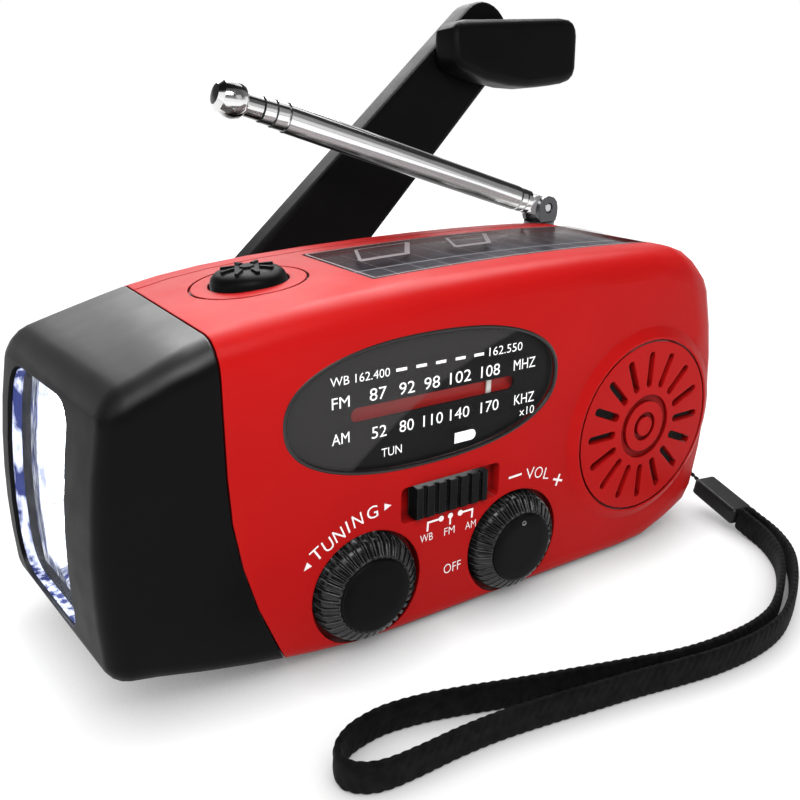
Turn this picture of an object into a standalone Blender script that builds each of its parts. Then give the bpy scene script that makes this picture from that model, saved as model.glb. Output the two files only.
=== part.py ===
"""Emergency radio: hand-cranked, solar-topped pocket radio with an end lamp.

Frame: +Z up, X along the case (lamp at -X, speaker at +X), the operator's side faces -Y.
Origin: centre of the flat base. All lengths are metres.
"""
import math

import bmesh
import bpy
from mathutils import Matrix, Vector

# --- driving dimensions -------------------------------------------------------------------
GAP = 0.0003                  # clearance between touching pieces
WALL = 0.0020                 # case wall
HALF_DEPTH = 0.0225           # half the case depth in the middle
FRONT = -HALF_DEPTH           # face with the dial, knobs and speaker
BACK = HALF_DEPTH
SEAM_Y = 0.0132               # front cover / rear cover split
TOP_KNOTS = [(-0.066, 0.0461), (-0.060, 0.0487), (-0.0535, 0.0509), (-0.044, 0.0541), (-0.037, 0.0557),
             (-0.029, 0.0568), (-0.016, 0.0579), (0.004, 0.0588), (0.024, 0.0591), (0.044, 0.0587),
             (0.057, 0.0578), (0.066, 0.0560)]
BOTTOM_KNOTS = [(-0.066, 0.0073), (-0.049, 0.0048), (-0.036, 0.0023), (-0.026, 0.0007), (-0.018, 0.0),
                (0.0, 0.0), (0.066, 0.0)]
DEPTH_KNOTS = [(-0.066, 0.0208), (-0.058, 0.0215), (-0.049, 0.0221), (-0.040, 0.0225), (-0.036, 0.0225),
               (0.0, 0.0225), (0.066, 0.0225)]
END_ROUND = 0.0100            # rounding of the closed right-hand end
LAMP_ROUND = 0.0028           # rounding round the lamp face

DIAL = (-0.0094, 0.0406)      # dial window centre (x, z)
DIAL_HALF = (0.0251, 0.0104)
DIAL_POWER = 2.3              # superellipse exponent of its outline
TUNING = (-0.0213, 0.0112)    # knob centres (x, z)
VOLUME = (0.0082, 0.0108)
WELL_R = 0.00986              # the round well each knob sits in
KNOB_R = 0.0092
SWITCH = (-0.0054, 0.0237)    # band switch slot centre (x, z)
SWITCH_SIZE = (0.0196, 0.0062)
SPEAKER = (0.0384, 0.0264)
SPEAKER_R = 0.0165            # flat part of the raised grille
PANEL_X = (-0.0145, 0.0475)   # solar window
PANEL_Y = (-0.0133, 0.0101)
BUTTON = (-0.0291, 0.0, 0.0566)
BUTTON_TILT = math.radians(5.5)
LAMP_SLANT = 0.112            # the lamp face stands back towards the front edge
LAMP_MID = 0.0033             # centre (y), half width and height span of the lamp opening
LAMP_Y = 0.0125
LAMP_Z = (0.0095, 0.0452)
LEDS_Z = (0.0160, 0.0275, 0.0390)

HUB = Vector((-0.0192, 0.0272, 0.0420))      # crank spin axis (x, z) and fold hinge height (y)
ARM_SPIN = math.radians(40.4)                # arm heading above +X, seen from the front
ARM_FOLD = math.radians(8.0)                 # arm lean away from the back
ARM_LENGTH = 0.0837
ARM_ROOT_W, ARM_TIP_W, ARM_T = 0.0190, 0.0148, 0.0061
GRIP_ANGLE = math.radians(-36.3)             # grip heading, measured from the arm
GRIP_SIZE = (0.0380, 0.0139, 0.0072)
GRIP_PIN = 0.0807                            # grip pin, measured along the arm
GEAR_TEETH, PINION_TEETH, MODULE = 32, 8, 0.0008
GEAR_Y = (0.0145, 0.0170)
ROTOR_ANGLE = math.radians(-50)              # dynamo seen from the crank axis

ANTENNA = Vector((0.0466, 0.0178, 0.0618))   # tilt axis of the antenna
ANTENNA_TILT = math.radians(17.03)           # above -X

STRAP_BAR = (0.0606, -0.0060, 0.0140)
CLIP_FROM = Vector((0.0661, -0.0180, 0.0055))
CLIP_TO = Vector((0.0639, -0.0300, 0.0034))
STRAP_Z = 0.0025                             # height of the band's middle as it lies on edge
STRAP_R = 0.00085
STRAP_PITCH = 0.0021                         # between the two runs where they lie side by side

SEGMENTS = 32


# --- scene, materials, object helpers -----------------------------------------------------
for old in list(bpy.data.objects):
    bpy.data.objects.remove(old, do_unlink=True)

PARTS = bpy.data.collections.new("emergency_radio")
CUTTERS = bpy.data.collections.new("cutters")
for coll in (PARTS, CUTTERS):
    bpy.context.scene.collection.children.link(coll)

PALETTE = {  # name: (colour, roughness, metallic)
    "red": ((0.60, 0.010, 0.012), 0.35, 0.0), "black": ((0.012, 0.012, 0.013), 0.45, 0.0),
    "gloss": ((0.006, 0.006, 0.007), 0.08, 0.0), "chrome": ((0.80, 0.80, 0.82), 0.10, 1.0),
    "steel": ((0.55, 0.55, 0.56), 0.30, 1.0), "brass": ((0.70, 0.50, 0.20), 0.30, 1.0),
    "clear": ((0.85, 0.88, 0.92), 0.05, 0.0), "white": ((0.85, 0.85, 0.85), 0.40, 0.0),
    "silver": ((0.75, 0.76, 0.80), 0.12, 1.0), "board": ((0.02, 0.16, 0.05), 0.50, 0.0),
    "cell": ((0.03, 0.04, 0.07), 0.25, 0.0), "rubber": ((0.02, 0.02, 0.02), 0.80, 0.0),
    "paper": ((0.05, 0.04, 0.035), 0.85, 0.0), "wrap": ((0.05, 0.12, 0.45), 0.40, 0.0),
    "fabric": ((0.015, 0.015, 0.015), 0.90, 0.0), "nylon": ((0.75, 0.73, 0.68), 0.50, 0.0),
}


def material(key, name):
    """A Principled material for one piece."""
    colour, rough, metal = PALETTE[key]
    mat = bpy.data.materials.new(name)
    mat.use_nodes = True
    bsdf = mat.node_tree.nodes["Principled BSDF"]
    bsdf.inputs["Base Color"].default_value = (*colour, 1.0)
    bsdf.inputs["Roughness"].default_value = rough
    bsdf.inputs["Metallic"].default_value = metal
    return mat


def add(name, mesh, colour=None, place=Matrix.Identity(4)):
    """Link a mesh as a piece, or as a cutter when it has no colour."""
    obj = bpy.data.objects.new(name, mesh)
    obj.matrix_world = place
    if colour is None:
        obj.hide_render = True
        obj.display_type = "WIRE"
        CUTTERS.objects.link(obj)
    else:
        mesh.materials.append(material(colour, name))
        mesh.shade_smooth()
        mesh.set_sharp_from_angle(angle=math.radians(32))
        PARTS.objects.link(obj)
    return obj


def mesh_of(bm, name):
    """Close a bmesh into a mesh with outward normals."""
    bmesh.ops.recalc_face_normals(bm, faces=bm.faces)
    mesh = bpy.data.meshes.new(name)
    bm.to_mesh(mesh)
    bm.free()
    return mesh


def bevel(obj, width, segments=2, angle=40):
    mod = obj.modifiers.new("bevel", "BEVEL")
    mod.width, mod.segments, mod.limit_method = width, segments, "ANGLE"
    mod.angle_limit = math.radians(angle)
    return obj


def boolean(obj, tool, operation):
    mod = obj.modifiers.new(operation.lower(), "BOOLEAN")
    mod.operation, mod.object, mod.solver = operation, tool, "EXACT"
    return obj


def cut(obj, *tools):
    for tool in tools:
        boolean(obj, tool, "DIFFERENCE")
    return obj


def join(obj, *tools):
    for tool in tools:
        boolean(obj, tool, "UNION")
    return obj


def box(name, lo, hi, colour=None, place=None):
    """An axis-aligned box between two corners, with its origin in the middle."""
    lo, hi = Vector(lo), Vector(hi)
    bm = bmesh.new()
    bmesh.ops.create_cube(bm, size=1.0)
    bmesh.ops.scale(bm, vec=hi - lo, verts=bm.verts)
    spot = Matrix.Translation((lo + hi) / 2)
    return add(name, mesh_of(bm, name), colour, place @ spot if place else spot)


def aimed(origin, direction, roll=(0.0, 0.0, 1.0)):
    """Matrix whose +Z points along direction and whose +X is as close to roll as it can be."""
    z = Vector(direction).normalized()
    x = Vector(roll) - z * Vector(roll).dot(z)
    if x.length < 1e-6:
        x = Vector((1, 0, 0)) - z * z.x
    x.normalize()
    rot = Matrix((x, z.cross(x), z)).transposed().to_4x4()
    return Matrix.Translation(Vector(origin)) @ rot


def turned(name, profile, place, colour=None, segments=SEGMENTS, ring=False):
    """A solid of revolution about local Z: (radius, height) pairs, top to bottom down the outside."""
    bm = bmesh.new()
    verts = [bm.verts.new((r, 0.0, h)) for r, h in profile]
    for a, b in zip(verts, verts[1:]):
        bm.edges.new((a, b))
    if ring:
        bm.edges.new((verts[-1], verts[0]))
    mesh = bpy.data.meshes.new(name)
    bm.to_mesh(mesh)
    bm.free()
    obj = add(name, mesh, colour, place)
    mod = obj.modifiers.new("turn", "SCREW")
    mod.steps = mod.render_steps = segments
    mod.use_merge_vertices, mod.merge_threshold = True, 0.00001
    mod.use_smooth_shade = True
    return obj


def rod(name, start, end, radius, colour=None, segments=SEGMENTS, roll=(0, 0, 1)):
    """A plain cylinder between two points."""
    start, end = Vector(start), Vector(end)
    return turned(name, [(0, (end - start).length), (radius, (end - start).length), (radius, 0), (0, 0)],
                  aimed(start, end - start, roll), colour, segments)


def plate(name, outline, thickness, place, colour=None):
    """A flat outline in local XY, thickened both ways along local Z."""
    curve = bpy.data.curves.new(name, "CURVE")
    curve.dimensions, curve.fill_mode, curve.extrude = "2D", "BOTH", thickness / 2
    spline = curve.splines.new("POLY")
    spline.points.add(len(outline) - 1)
    for point, (x, y) in zip(spline.points, outline):
        point.co = (x, y, 0, 1)
    spline.use_cyclic_u = True
    temp = bpy.data.objects.new(name + "_curve", curve)
    bpy.context.scene.collection.objects.link(temp)
    graph = bpy.context.evaluated_depsgraph_get()
    mesh = bpy.data.meshes.new_from_object(temp.evaluated_get(graph))
    bpy.data.objects.remove(temp)
    bm = bmesh.new()
    bm.from_mesh(mesh)
    bmesh.ops.remove_doubles(bm, verts=bm.verts, dist=0.00001)
    bmesh.ops.dissolve_limit(bm, angle_limit=0.01, verts=bm.verts, edges=bm.edges)
    return add(name, mesh_of(bm, name), colour, place)


def facing(x, y, z):
    """Local XY seen from the front (X right, Z up), local Z pointing out of the front."""
    return Matrix.Translation((x, y, z)) @ Matrix.Rotation(math.radians(90), 4, "X")


def superellipse(half_w, half_h, power, count=48):
    points = []
    for i in range(count):
        c, s = math.cos(2 * math.pi * i / count), math.sin(2 * math.pi * i / count)
        points.append((half_w * math.copysign(abs(c) ** (2 / power), c),
                       half_h * math.copysign(abs(s) ** (2 / power), s)))
    return points


def rounded(w, h, r, steps=4):
    """Rounded rectangle outline centred on the origin."""
    points = []
    for cx, cy, start in ((w / 2 - r, h / 2 - r, 0), (r - w / 2, h / 2 - r, 90),
                          (r - w / 2, r - h / 2, 180), (w / 2 - r, r - h / 2, 270)):
        for i in range(steps + 1):
            a = math.radians(start + 90 * i / steps)
            points.append((cx + r * math.cos(a), cy + r * math.sin(a)))
    return points


# --- the case form ------------------------------------------------------------------------
def smooth(knots, x):
    """Smooth curve through (x, value) knots."""
    xs = [k[0] for k in knots]
    i = max(0, min(len(knots) - 2, sum(1 for v in xs if v <= x) - 1))

    def slope(j):
        a, b = max(j - 1, 0), min(j + 1, len(knots) - 1)
        return (knots[b][1] - knots[a][1]) / (knots[b][0] - knots[a][0])

    (x0, y0), (x1, y1) = knots[i], knots[i + 1]
    w = x1 - x0
    t = (x - x0) / w
    return ((2 * t ** 3 - 3 * t ** 2 + 1) * y0 + (t ** 3 - 2 * t ** 2 + t) * w * slope(i)
            + (3 * t ** 2 - 2 * t ** 3) * y1 + (t ** 3 - t ** 2) * w * slope(i + 1))


def top(x):
    return smooth(TOP_KNOTS, x)


def bottom(x):
    return max(0.0, smooth(BOTTOM_KNOTS, x))


def ease(x, lo, hi):
    t = max(0.0, min(1.0, (x - lo) / (hi - lo)))
    return t * t * (3 - 2 * t)


def corner_radii(x):
    """(bottom, top back, top front) edge radii of the case section at x."""
    right, left = ease(x, 0.040, 0.056), 1 - ease(x, -0.054, -0.038)
    return 0.0035 + 0.0060 * right, 0.0060 + 0.0040 * right - 0.0022 * left, 0.0050 + 0.0035 * right - 0.0010 * left


def left_end(z):
    return -0.0640 + 4.0 * (z - 0.018) ** 2


def right_end(z):
    return 0.0640 - 6.9 * (z - 0.024) ** 2


def slant(x, y):
    """Shift of the lamp end along X, growing from the parting line to the lamp face."""
    return ease(-x, 0.046, 0.060) * (0.0006 - LAMP_SLANT * y)


def parting(z):
    """Line between the black lamp housing and the red covers."""
    return -0.0432 + 7.6 * max(0.0, 0.035 - z) ** 2


def section(x, inset, arc=4, side=5, flat=2):
    """Closed (y, z) ring of the case at x, inset from the outer surface."""
    hd = smooth(DEPTH_KNOTS, x) - inset
    low, high = bottom(x) + inset, top(x) - inset
    bot, tb, tf = (max(r - inset, 0.0004) for r in corner_radii(x))
    corners = ((hd - bot, low + bot, bot, 270), (hd - tb, high - tb, tb, 0),
               (tf - hd, high - tf, tf, 90), (bot - hd, low + bot, bot, 180))
    counts = (side, flat, side, flat)
    arcs = []
    for cy, cz, r, start in corners:
        arcs.append([(cy + r * math.cos(math.radians(start + 90 * i / arc)),
                      cz + r * math.sin(math.radians(start + 90 * i / arc))) for i in range(arc + 1)])
    ring = []
    for k, pts in enumerate(arcs):
        ring += pts
        (y0, z0), (y1, z1) = pts[-1], arcs[(k + 1) % 4][0]
        for i in range(1, counts[k] + 1):
            t = i / (counts[k] + 1)
            ring.append((y0 + (y1 - y0) * t, z0 + (z1 - z0) * t))
    return ring


def station(place_x, inset):
    """Ring of points whose x follows place_x(z)."""
    zs = [z for _, z in section(0.0, inset)]
    for _ in range(4):
        rings = [section(place_x(z), inset)[j] for j, z in enumerate(zs)]
        zs = [z for _, z in rings]
    return [Vector((place_x(z), y, z)) for y, z in rings]


def loft_rings(start, end, rounding, inset, steps):
    """Rings from an open start line to a rounded end."""
    sign = 1 if end(0.03) > start(0.03) else -1
    rings = []
    for s in steps:
        rings.append(station(lambda z: start(z) + s * (end(z) - sign * (rounding + inset) - start(z)), inset))
    radius = rounding
    for deg in (22.5, 45, 67.5, 90):
        a = math.radians(deg)
        rings.append(station(lambda z: end(z) - sign * (inset + radius * (1 - math.sin(a))),
                             inset + radius * (1 - math.cos(a))))
    return rings


def skin(bm, rings):
    """Faces between successive rings and a ruled cap on the last one; returns the first ring."""
    loops = [[bm.verts.new(p) for p in ring] for ring in rings]
    n = len(loops[0])
    for a, b in zip(loops, loops[1:]):
        for j in range(n):
            k = (j + 1) % n
            bm.faces.new((a[j], a[k], b[k], b[j]))
    last = loops[-1]
    chain = (n - 4) // 2          # two sides of equal length and two flats of two points
    back, upper = last[:chain], last[chain:chain + 2]
    front, lower = last[chain + 2:chain * 2 + 2], last[chain * 2 + 2:]
    for k in range(chain - 1):
        face = [back[k], back[k + 1], front[chain - 2 - k], front[chain - 1 - k]]
        if k == 0:
            face += lower
        if k == chain - 2:
            face = face[:2] + upper + face[2:]
        bm.faces.new(face)
    return loops[0]


def shell(name, start, end, rounding, steps, colour):
    """A hollow case half: outer and inner skins joined by a rim at the open start."""
    bm = bmesh.new()
    outer = skin(bm, loft_rings(start, end, rounding, 0.0, steps))
    inner = skin(bm, loft_rings(start, end, max(rounding - WALL, 0.0008), WALL, steps))
    n = len(outer)
    for j in range(n):
        bm.faces.new((outer[j], outer[(j + 1) % n], inner[(j + 1) % n], inner[j]))
    return add(name, mesh_of(bm, name), colour)


# --- covers -------------------------------------------------------------------------------
def dial_outline(grow=0.0, count=48):
    return superellipse(DIAL_HALF[0] + grow, DIAL_HALF[1] + grow, DIAL_POWER, count)


def panel_slab(name, grow, low, high, colour=None):
    """Slab that follows the arched top between two depths below it."""
    x0, x1 = PANEL_X[0] - grow, PANEL_X[1] + grow
    y0, y1 = PANEL_Y[0] - grow, PANEL_Y[1] + grow
    bm = bmesh.new()
    rings = []
    for i in range(7):
        x = x0 + (x1 - x0) * i / 6
        rings.append([bm.verts.new((x, y, top(x) - d)) for y, d in ((y0, low), (y1, low), (y1, high), (y0, high))])
    for a, b in zip(rings, rings[1:]):
        for j in range(4):
            bm.faces.new((a[j], a[(j + 1) % 4], b[(j + 1) % 4], b[j]))
    bm.faces.new(rings[0])
    bm.faces.new(rings[-1][::-1])
    return add(name, mesh_of(bm, name), colour)


def button_frame(height=0.0):
    """Placement on the lamp button's axis, square to the sloping top."""
    return (Matrix.Translation(BUTTON) @ Matrix.Rotation(-BUTTON_TILT, 4, "Y")
            @ Matrix.Translation((0, 0, height)))


def speaker_slot(i):
    turn = Matrix.Rotation(math.radians(22.5 * i), 4, "Y")
    slot = plate("slot_%d" % i, rounded(0.0068, 0.0015, 0.0007, 2), 0.006, facing(0.0111, 0, 0))
    slot.matrix_world = Matrix.Translation((SPEAKER[0], -0.0225, SPEAKER[1])) @ turn @ slot.matrix_world
    return slot


def covers():
    """Red front and rear covers, cut from one hollow form along the seam."""
    steps = (0, 0.06, 0.14, 0.24, 0.36, 0.5, 0.62, 0.74, 0.84, 0.92, 1)
    gap = lambda z: parting(z) + GAP / 2
    front = shell("front_cover", gap, right_end, END_ROUND, steps, "red")
    rear = shell("rear_cover", gap, right_end, END_ROUND, steps, "red")
    cut(front, box("behind_seam", (-0.1, SEAM_Y - GAP / 2, -0.02), (0.1, 0.1, 0.1)))
    cut(rear, box("before_seam", (-0.1, -0.1, -0.02), (0.1, SEAM_Y + GAP / 2, 0.1)))

    # thickened floors behind the knob wells and the switch, and the raised speaker ring
    for label, (x, z) in (("tuning", TUNING), ("volume", VOLUME)):
        low = bottom(x - 0.0112) + 0.0011
        join(front, box(label + "_boss", (x - 0.0112, FRONT + 0.0012, low), (x + 0.0112, FRONT + 0.0034, z + 0.0112)))
    sx, sz = SWITCH
    join(front, box("switch_boss", (sx - 0.0113, FRONT + 0.0011, sz - 0.0045), (sx + 0.0113, FRONT + 0.0035, sz + 0.0045)))
    face, low = 0.0010, 0.0002        # raised grille face and the floor of its ring grooves
    profile = [(0, face)]
    for r0, r1 in ((0.0019, 0.0028), (0.0049, 0.0062), (SPEAKER_R - 0.0002, SPEAKER_R + 0.0002)):
        profile += [(r0, face), (r0, low), (r1, low), (r1, face)]
    profile += [(SPEAKER_R + 0.0006, face), (SPEAKER_R + 0.0026, -0.0001), (SPEAKER_R + 0.0026, -0.0012), (0, -0.0012)]
    join(front, turned("speaker_ring", profile, facing(SPEAKER[0], FRONT, SPEAKER[1]), segments=48))
    # openings of the front
    for label, (x, z) in (("tuning", TUNING), ("volume", VOLUME)):
        cut(front, rod(label + "_well", (x, FRONT + 0.0019, z), (x, FRONT - 0.01, z), WELL_R, segments=48),
            rod(label + "_hole", (x, FRONT + 0.006, z), (x, FRONT - 0.01, z), 0.0034, segments=24))
    cut(front, plate("dial_hole", dial_outline(GAP), 0.008, facing(DIAL[0], FRONT, DIAL[1])),
        plate("switch_well", rounded(*SWITCH_SIZE, 0.0009, 3), 0.0044, facing(sx, FRONT, sz)),
        box("switch_slit", (sx - 0.0062, FRONT - 0.001, sz - 0.0011), (sx + 0.0062, FRONT + 0.006, sz + 0.0011)))
    # speaker: thin grille with sixteen sound slots
    sp = (SPEAKER[0], SPEAKER[1])
    cut(front, rod("grille_back", (sp[0], FRONT + 0.004, sp[1]), (sp[0], FRONT + 0.0005, sp[1]), 0.0156, segments=48))
    cut(front, *[speaker_slot(i) for i in range(16)])
    # top: solar window and lamp button with the fine ring round it
    cut(front, panel_slab("panel_hole", GAP, 0.004, -0.004),
        turned("button_hole", [(0, 0.01), (0.0064, 0.01), (0.0064, -0.008), (0, -0.008)], button_frame()),
        turned("button_ring", [(0.0090, 0.004), (0.0094, 0.004), (0.0094, -0.0008), (0.0090, -0.0008)],
               button_frame(), segments=48, ring=True))
    # right-hand end: pocket for the strap bar
    bx, by, bz = STRAP_BAR
    cut(front, box("strap_pocket", (bx - 0.0030, by - 0.0030, bz - 0.0035), (bx + 0.008, by + 0.0030, bz + 0.0035)))

    # rear cover: seat for the crank hub, battery door, ports and antenna turret
    hub = Vector((HUB.x, 0, HUB.z))
    join(rear, rod("hub_boss", hub + Vector((0, BACK - 0.0048, 0)), hub + Vector((0, BACK - 0.0016, 0)), 0.0136, segments=40))
    cut(rear, rod("hub_seat", hub + Vector((0, BACK - 0.0022, 0)), hub + Vector((0, 0.04, 0)), 0.0129, segments=40),
        rod("hub_bore", hub + Vector((0, 0.010, 0)), hub + Vector((0, 0.04, 0)), 0.0043),
        box("door_hole", (DOOR_X[0] - GAP, 0.018, DOOR_Z[0] - GAP), (DOOR_X[1] + GAP, 0.03, DOOR_Z[1] + GAP)),
        box("port_hole", (PORT_X[0] - GAP, 0.018, PORT_Z[0] - GAP), (PORT_X[1] + GAP, 0.03, PORT_Z[1] + GAP)),
        rod("turret_hole", (ANTENNA.x, ANTENNA.y, 0.05), (ANTENNA.x, ANTENNA.y, 0.07), 0.0036))
    return front, rear


# --- lamp ---------------------------------------------------------------------------------
def lamp_prism(name, shrink):
    """The lamp opening as a long prism along X."""
    height = LAMP_Z[1] - LAMP_Z[0] - 2 * shrink
    spot = Matrix.Translation((-0.06, LAMP_MID, (LAMP_Z[0] + LAMP_Z[1]) / 2))
    turn = Matrix(((0, 0, 1, 0), (1, 0, 0, 0), (0, 1, 0, 0), (0, 0, 0, 1)))
    return plate(name, rounded(2 * (LAMP_Y - shrink), height, 0.0045 - shrink, 4), 0.03, spot @ turn)


def end_slab(name, near, far, colour, half_y=0.0150):
    """Slab parallel to the curved lamp face, between two depths behind it."""
    bm = bmesh.new()
    rings = []
    for i in range(9):
        z = 0.006 + 0.043 * i / 8
        x, front, back = left_end(z), LAMP_MID - half_y, LAMP_MID + half_y
        rings.append([bm.verts.new((x + slant(x, y) + depth, y, z))
                      for depth, y in ((near, front), (near, back), (far, back), (far, front))])
    for a, b in zip(rings, rings[1:]):
        for j in range(4):
            bm.faces.new((a[j], a[(j + 1) % 4], b[(j + 1) % 4], b[j]))
    bm.faces.new(rings[0])
    bm.faces.new(rings[-1][::-1])
    return add(name, mesh_of(bm, name), colour)


def lamp():
    housing = shell("lamp_housing", lambda z: parting(z) - GAP / 2, left_end, LAMP_ROUND,
                    (0, 0.2, 0.35, 0.5, 0.7, 0.85, 1), "black")
    for vert in housing.data.vertices:
        vert.co.x += slant(vert.co.x, vert.co.y)
    cut(housing, lamp_prism("lamp_hole", 0.0))
    lens = end_slab("lamp_lens", 0.0006, 0.0020, "clear")
    boolean(lens, lamp_prism("lens_edge", GAP), "INTERSECT")

    y = LAMP_MID
    reflector = box("reflector", (-0.0650, y - 0.0118, 0.0102), (-0.0520, y + 0.0118, 0.0446), "silver")
    cut(reflector, end_slab("reflector_front", -0.010, 0.0032, None, 0.02))
    for i, z in enumerate(LEDS_Z):
        cut(reflector, turned("bowl_%d" % i, [(0, 0.0125), (0.0066, 0.0125), (0.0028, 0.0055), (0.0028, -0.001), (0, -0.001)],
                              aimed((-0.0515, y, z), (-1, 0, 0)), segments=24))
        turned("led_%d" % (i + 1), [(0, 0.0080), (0.0013, 0.0076), (0.0022, 0.0064), (0.0024, 0.0050), (0.0024, 0), (0, 0)],
               aimed((-0.0517, y, z), (-1, 0, 0)), "white", 20)
    box("led_board", (-0.0514, y - 0.0110, 0.0105), (-0.0500, y + 0.0110, 0.0445), "board")


# --- dial ---------------------------------------------------------------------------------
def dial():
    """Window, plate with its pill-shaped slot, needle behind the slot and red strip behind the needle."""
    x, z = DIAL
    window = plate("dial_window", dial_outline(), 0.0006, facing(x, FRONT + 0.0004, z), "clear")
    bevel(window, 0.0002, 1)
    board = plate("dial_plate", dial_outline(), 0.0004, facing(x, FRONT + 0.0012, z), "gloss")
    cut(board, plate("dial_slot", rounded(0.0308, 0.0023, 0.0011, 4), 0.002, facing(-0.0081, FRONT + 0.0012, 0.0401)))
    box("dial_strip", (-0.0250, FRONT + 0.0023, 0.0382), (0.0092, FRONT + 0.0028, 0.0420), "red")
    pointer = box("dial_pointer", (0.0022, FRONT + 0.0017, 0.0371), (0.0031, FRONT + 0.0020, 0.0418), "white")
    join(pointer, box("pointer_stem", (0.0024, FRONT + 0.0018, 0.0371), (0.0029, FRONT + 0.0062, 0.0377)))
    join(pointer, box("pointer_foot", (-0.0003, FRONT + 0.0052, 0.0370), (0.0057, FRONT + 0.0062, 0.0400)))


# --- knobs and switch ---------------------------------------------------------------------
def knob(name, centre, marked):
    """Thumb knob with grip flutes on its flank; its local Z points out of the front."""
    x, z = centre
    bm = bmesh.new()
    levels = [(0.0066, 0.0041), (0.0085, 0.0025), (0.0091, 0.0005), (0.0091, 0.0)]
    flutes = 30
    loops = []
    for r, h in levels:
        ring = []
        for i in range(flutes * 2):
            a = math.pi * i / flutes
            rr = r - (0.00035 if i % 2 else 0.0)
            ring.append(bm.verts.new((rr * math.cos(a), rr * math.sin(a), h)))
        loops.append(ring)
    n = flutes * 2
    for a, b in zip(loops, loops[1:]):
        for j in range(n):
            bm.faces.new((a[j], a[(j + 1) % n], b[(j + 1) % n], b[j]))
    cap = [bm.verts.new((0.0060 * math.cos(math.pi * i / flutes), 0.0060 * math.sin(math.pi * i / flutes), 0.0044))
           for i in range(n)]
    for j in range(n):
        bm.faces.new((loops[0][j], loops[0][(j + 1) % n], cap[(j + 1) % n], cap[j]))
    bm.faces.new(cap)
    bm.faces.new(loops[-1][::-1])
    body = add(name, mesh_of(bm, name), "black", facing(x, FRONT + 0.0016, z))
    join(body, rod(name + "_shaft", (x, FRONT + 0.0010, z), (x, FRONT + 0.0075, z), 0.0022, segments=20))
    if marked:
        cut(body, rod(name + "_mark", (x, FRONT - 0.0060, z + 0.0047), (x, FRONT - 0.0025, z + 0.0047), 0.0003, segments=8))
    return body


def controls():
    knob("tuning_knob", TUNING, False)
    knob("volume_knob", VOLUME, True)
    tx, tz = TUNING
    capacitor = box("tuning_capacitor", (tx - 0.0080, FRONT + 0.0056, tz - 0.0075), (tx + 0.0080, FRONT + 0.0165, tz + 0.0085), "nylon")
    cut(capacitor, rod("capacitor_bore", (tx, FRONT, tz), (tx, FRONT + 0.0090, tz), 0.0026, segments=20))
    vx, vz = VOLUME
    control = rod("volume_control", (vx, FRONT + 0.0056, vz), (vx, FRONT + 0.0120, vz), 0.0082, "steel", 28)
    cut(control, rod("control_bore", (vx, FRONT, vz), (vx, FRONT + 0.0090, vz), 0.0026, segments=20))

    sx, sz = SWITCH
    slider = box("band_switch", (sx - 0.0073, FRONT - 0.0008, sz - 0.0027), (sx + 0.0067, FRONT + 0.0018, sz + 0.0027), "black")
    for i in range(6):
        x = sx - 0.0057 + 0.0022 * i
        cut(slider, box("rib_gap_%d" % i, (x - 0.0004, FRONT - 0.002, sz - 0.004), (x + 0.0004, FRONT - 0.0002, sz + 0.004)))
    join(slider, box("slider_stem", (sx - 0.0030, FRONT + 0.0016, sz - 0.0008), (sx + 0.0024, FRONT + 0.0049, sz + 0.0008)))
    body = box("switch_body", (sx - 0.0085, FRONT + 0.0042, sz - 0.0034), (sx + 0.0079, FRONT + 0.0080, sz + 0.0034), "steel")
    cut(body, box("switch_body_slot", (sx - 0.0060, FRONT + 0.0040, sz - 0.0012), (sx + 0.0054, FRONT + 0.0053, sz + 0.0012)))


# --- speaker ------------------------------------------------------------------------------
def speaker():
    x, z = SPEAKER
    spot = facing(x, FRONT, z)
    turned("speaker_cloth", [(0, -0.0008), (0.0152, -0.0008), (0.0152, -0.0011), (0, -0.0011)], spot, "fabric", 40)
    turned("speaker_basket", [(0.0158, -0.0024), (0.0169, -0.0024), (0.0169, -0.0032), (0.0160, -0.0036),
                              (0.0100, -0.0085), (0.0060, -0.0085), (0.0060, -0.0076), (0.0092, -0.0076)],
           spot, "steel", 40, ring=True)
    turned("speaker_cone", [(0, -0.0050), (0.0040, -0.0052), (0.0144, -0.0026), (0.0144, -0.0030), (0.0042, -0.0062), (0, -0.0060)],
           spot, "paper", 40)
    turned("speaker_magnet", [(0, -0.0088), (0.0085, -0.0088), (0.0085, -0.0128), (0, -0.0128)], spot, "steel", 32)


# --- top: solar panel and lamp button -----------------------------------------------------
def top_side():
    panel_slab("solar_window", 0.0, 0.0008, 0.0, "clear")
    panel_slab("solar_cells", -0.0002, 0.0021, 0.0011, "cell")
    button = turned("lamp_button", [(0, 0.0023), (0.0020, 0.00225), (0.0038, 0.0021), (0.0050, 0.0018), (0.0057, 0.0012),
                                    (0.0060, 0.0004), (0.0060, -0.0030), (0.0022, -0.0030), (0.0022, -0.0040), (0, -0.0040)],
                    button_frame(), "black", 40)
    # raised lamp emblem: a plain sun, one boss with eight short rays
    join(button, turned("emblem_sun", [(0, 0.0027), (0.0011, 0.0026), (0.0013, 0.0017), (0, 0.0017)], button_frame(), segments=16))
    for i in range(8):
        lean = Matrix.Translation((0.0032, 0, 0)) @ Matrix.Rotation(math.radians(5), 4, "Y")
        spot = button_frame(0.0021) @ Matrix.Rotation(math.radians(45 * i), 4, "Z") @ lean
        join(button, box("emblem_ray_%d" % i, (-0.0011, -0.00028, -0.0006), (0.0011, 0.00028, 0.0004), place=spot))
    box("button_switch", (-0.0032, -0.0032, -0.0082), (0.0032, 0.0032, -0.0051), "steel", button_frame())


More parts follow.
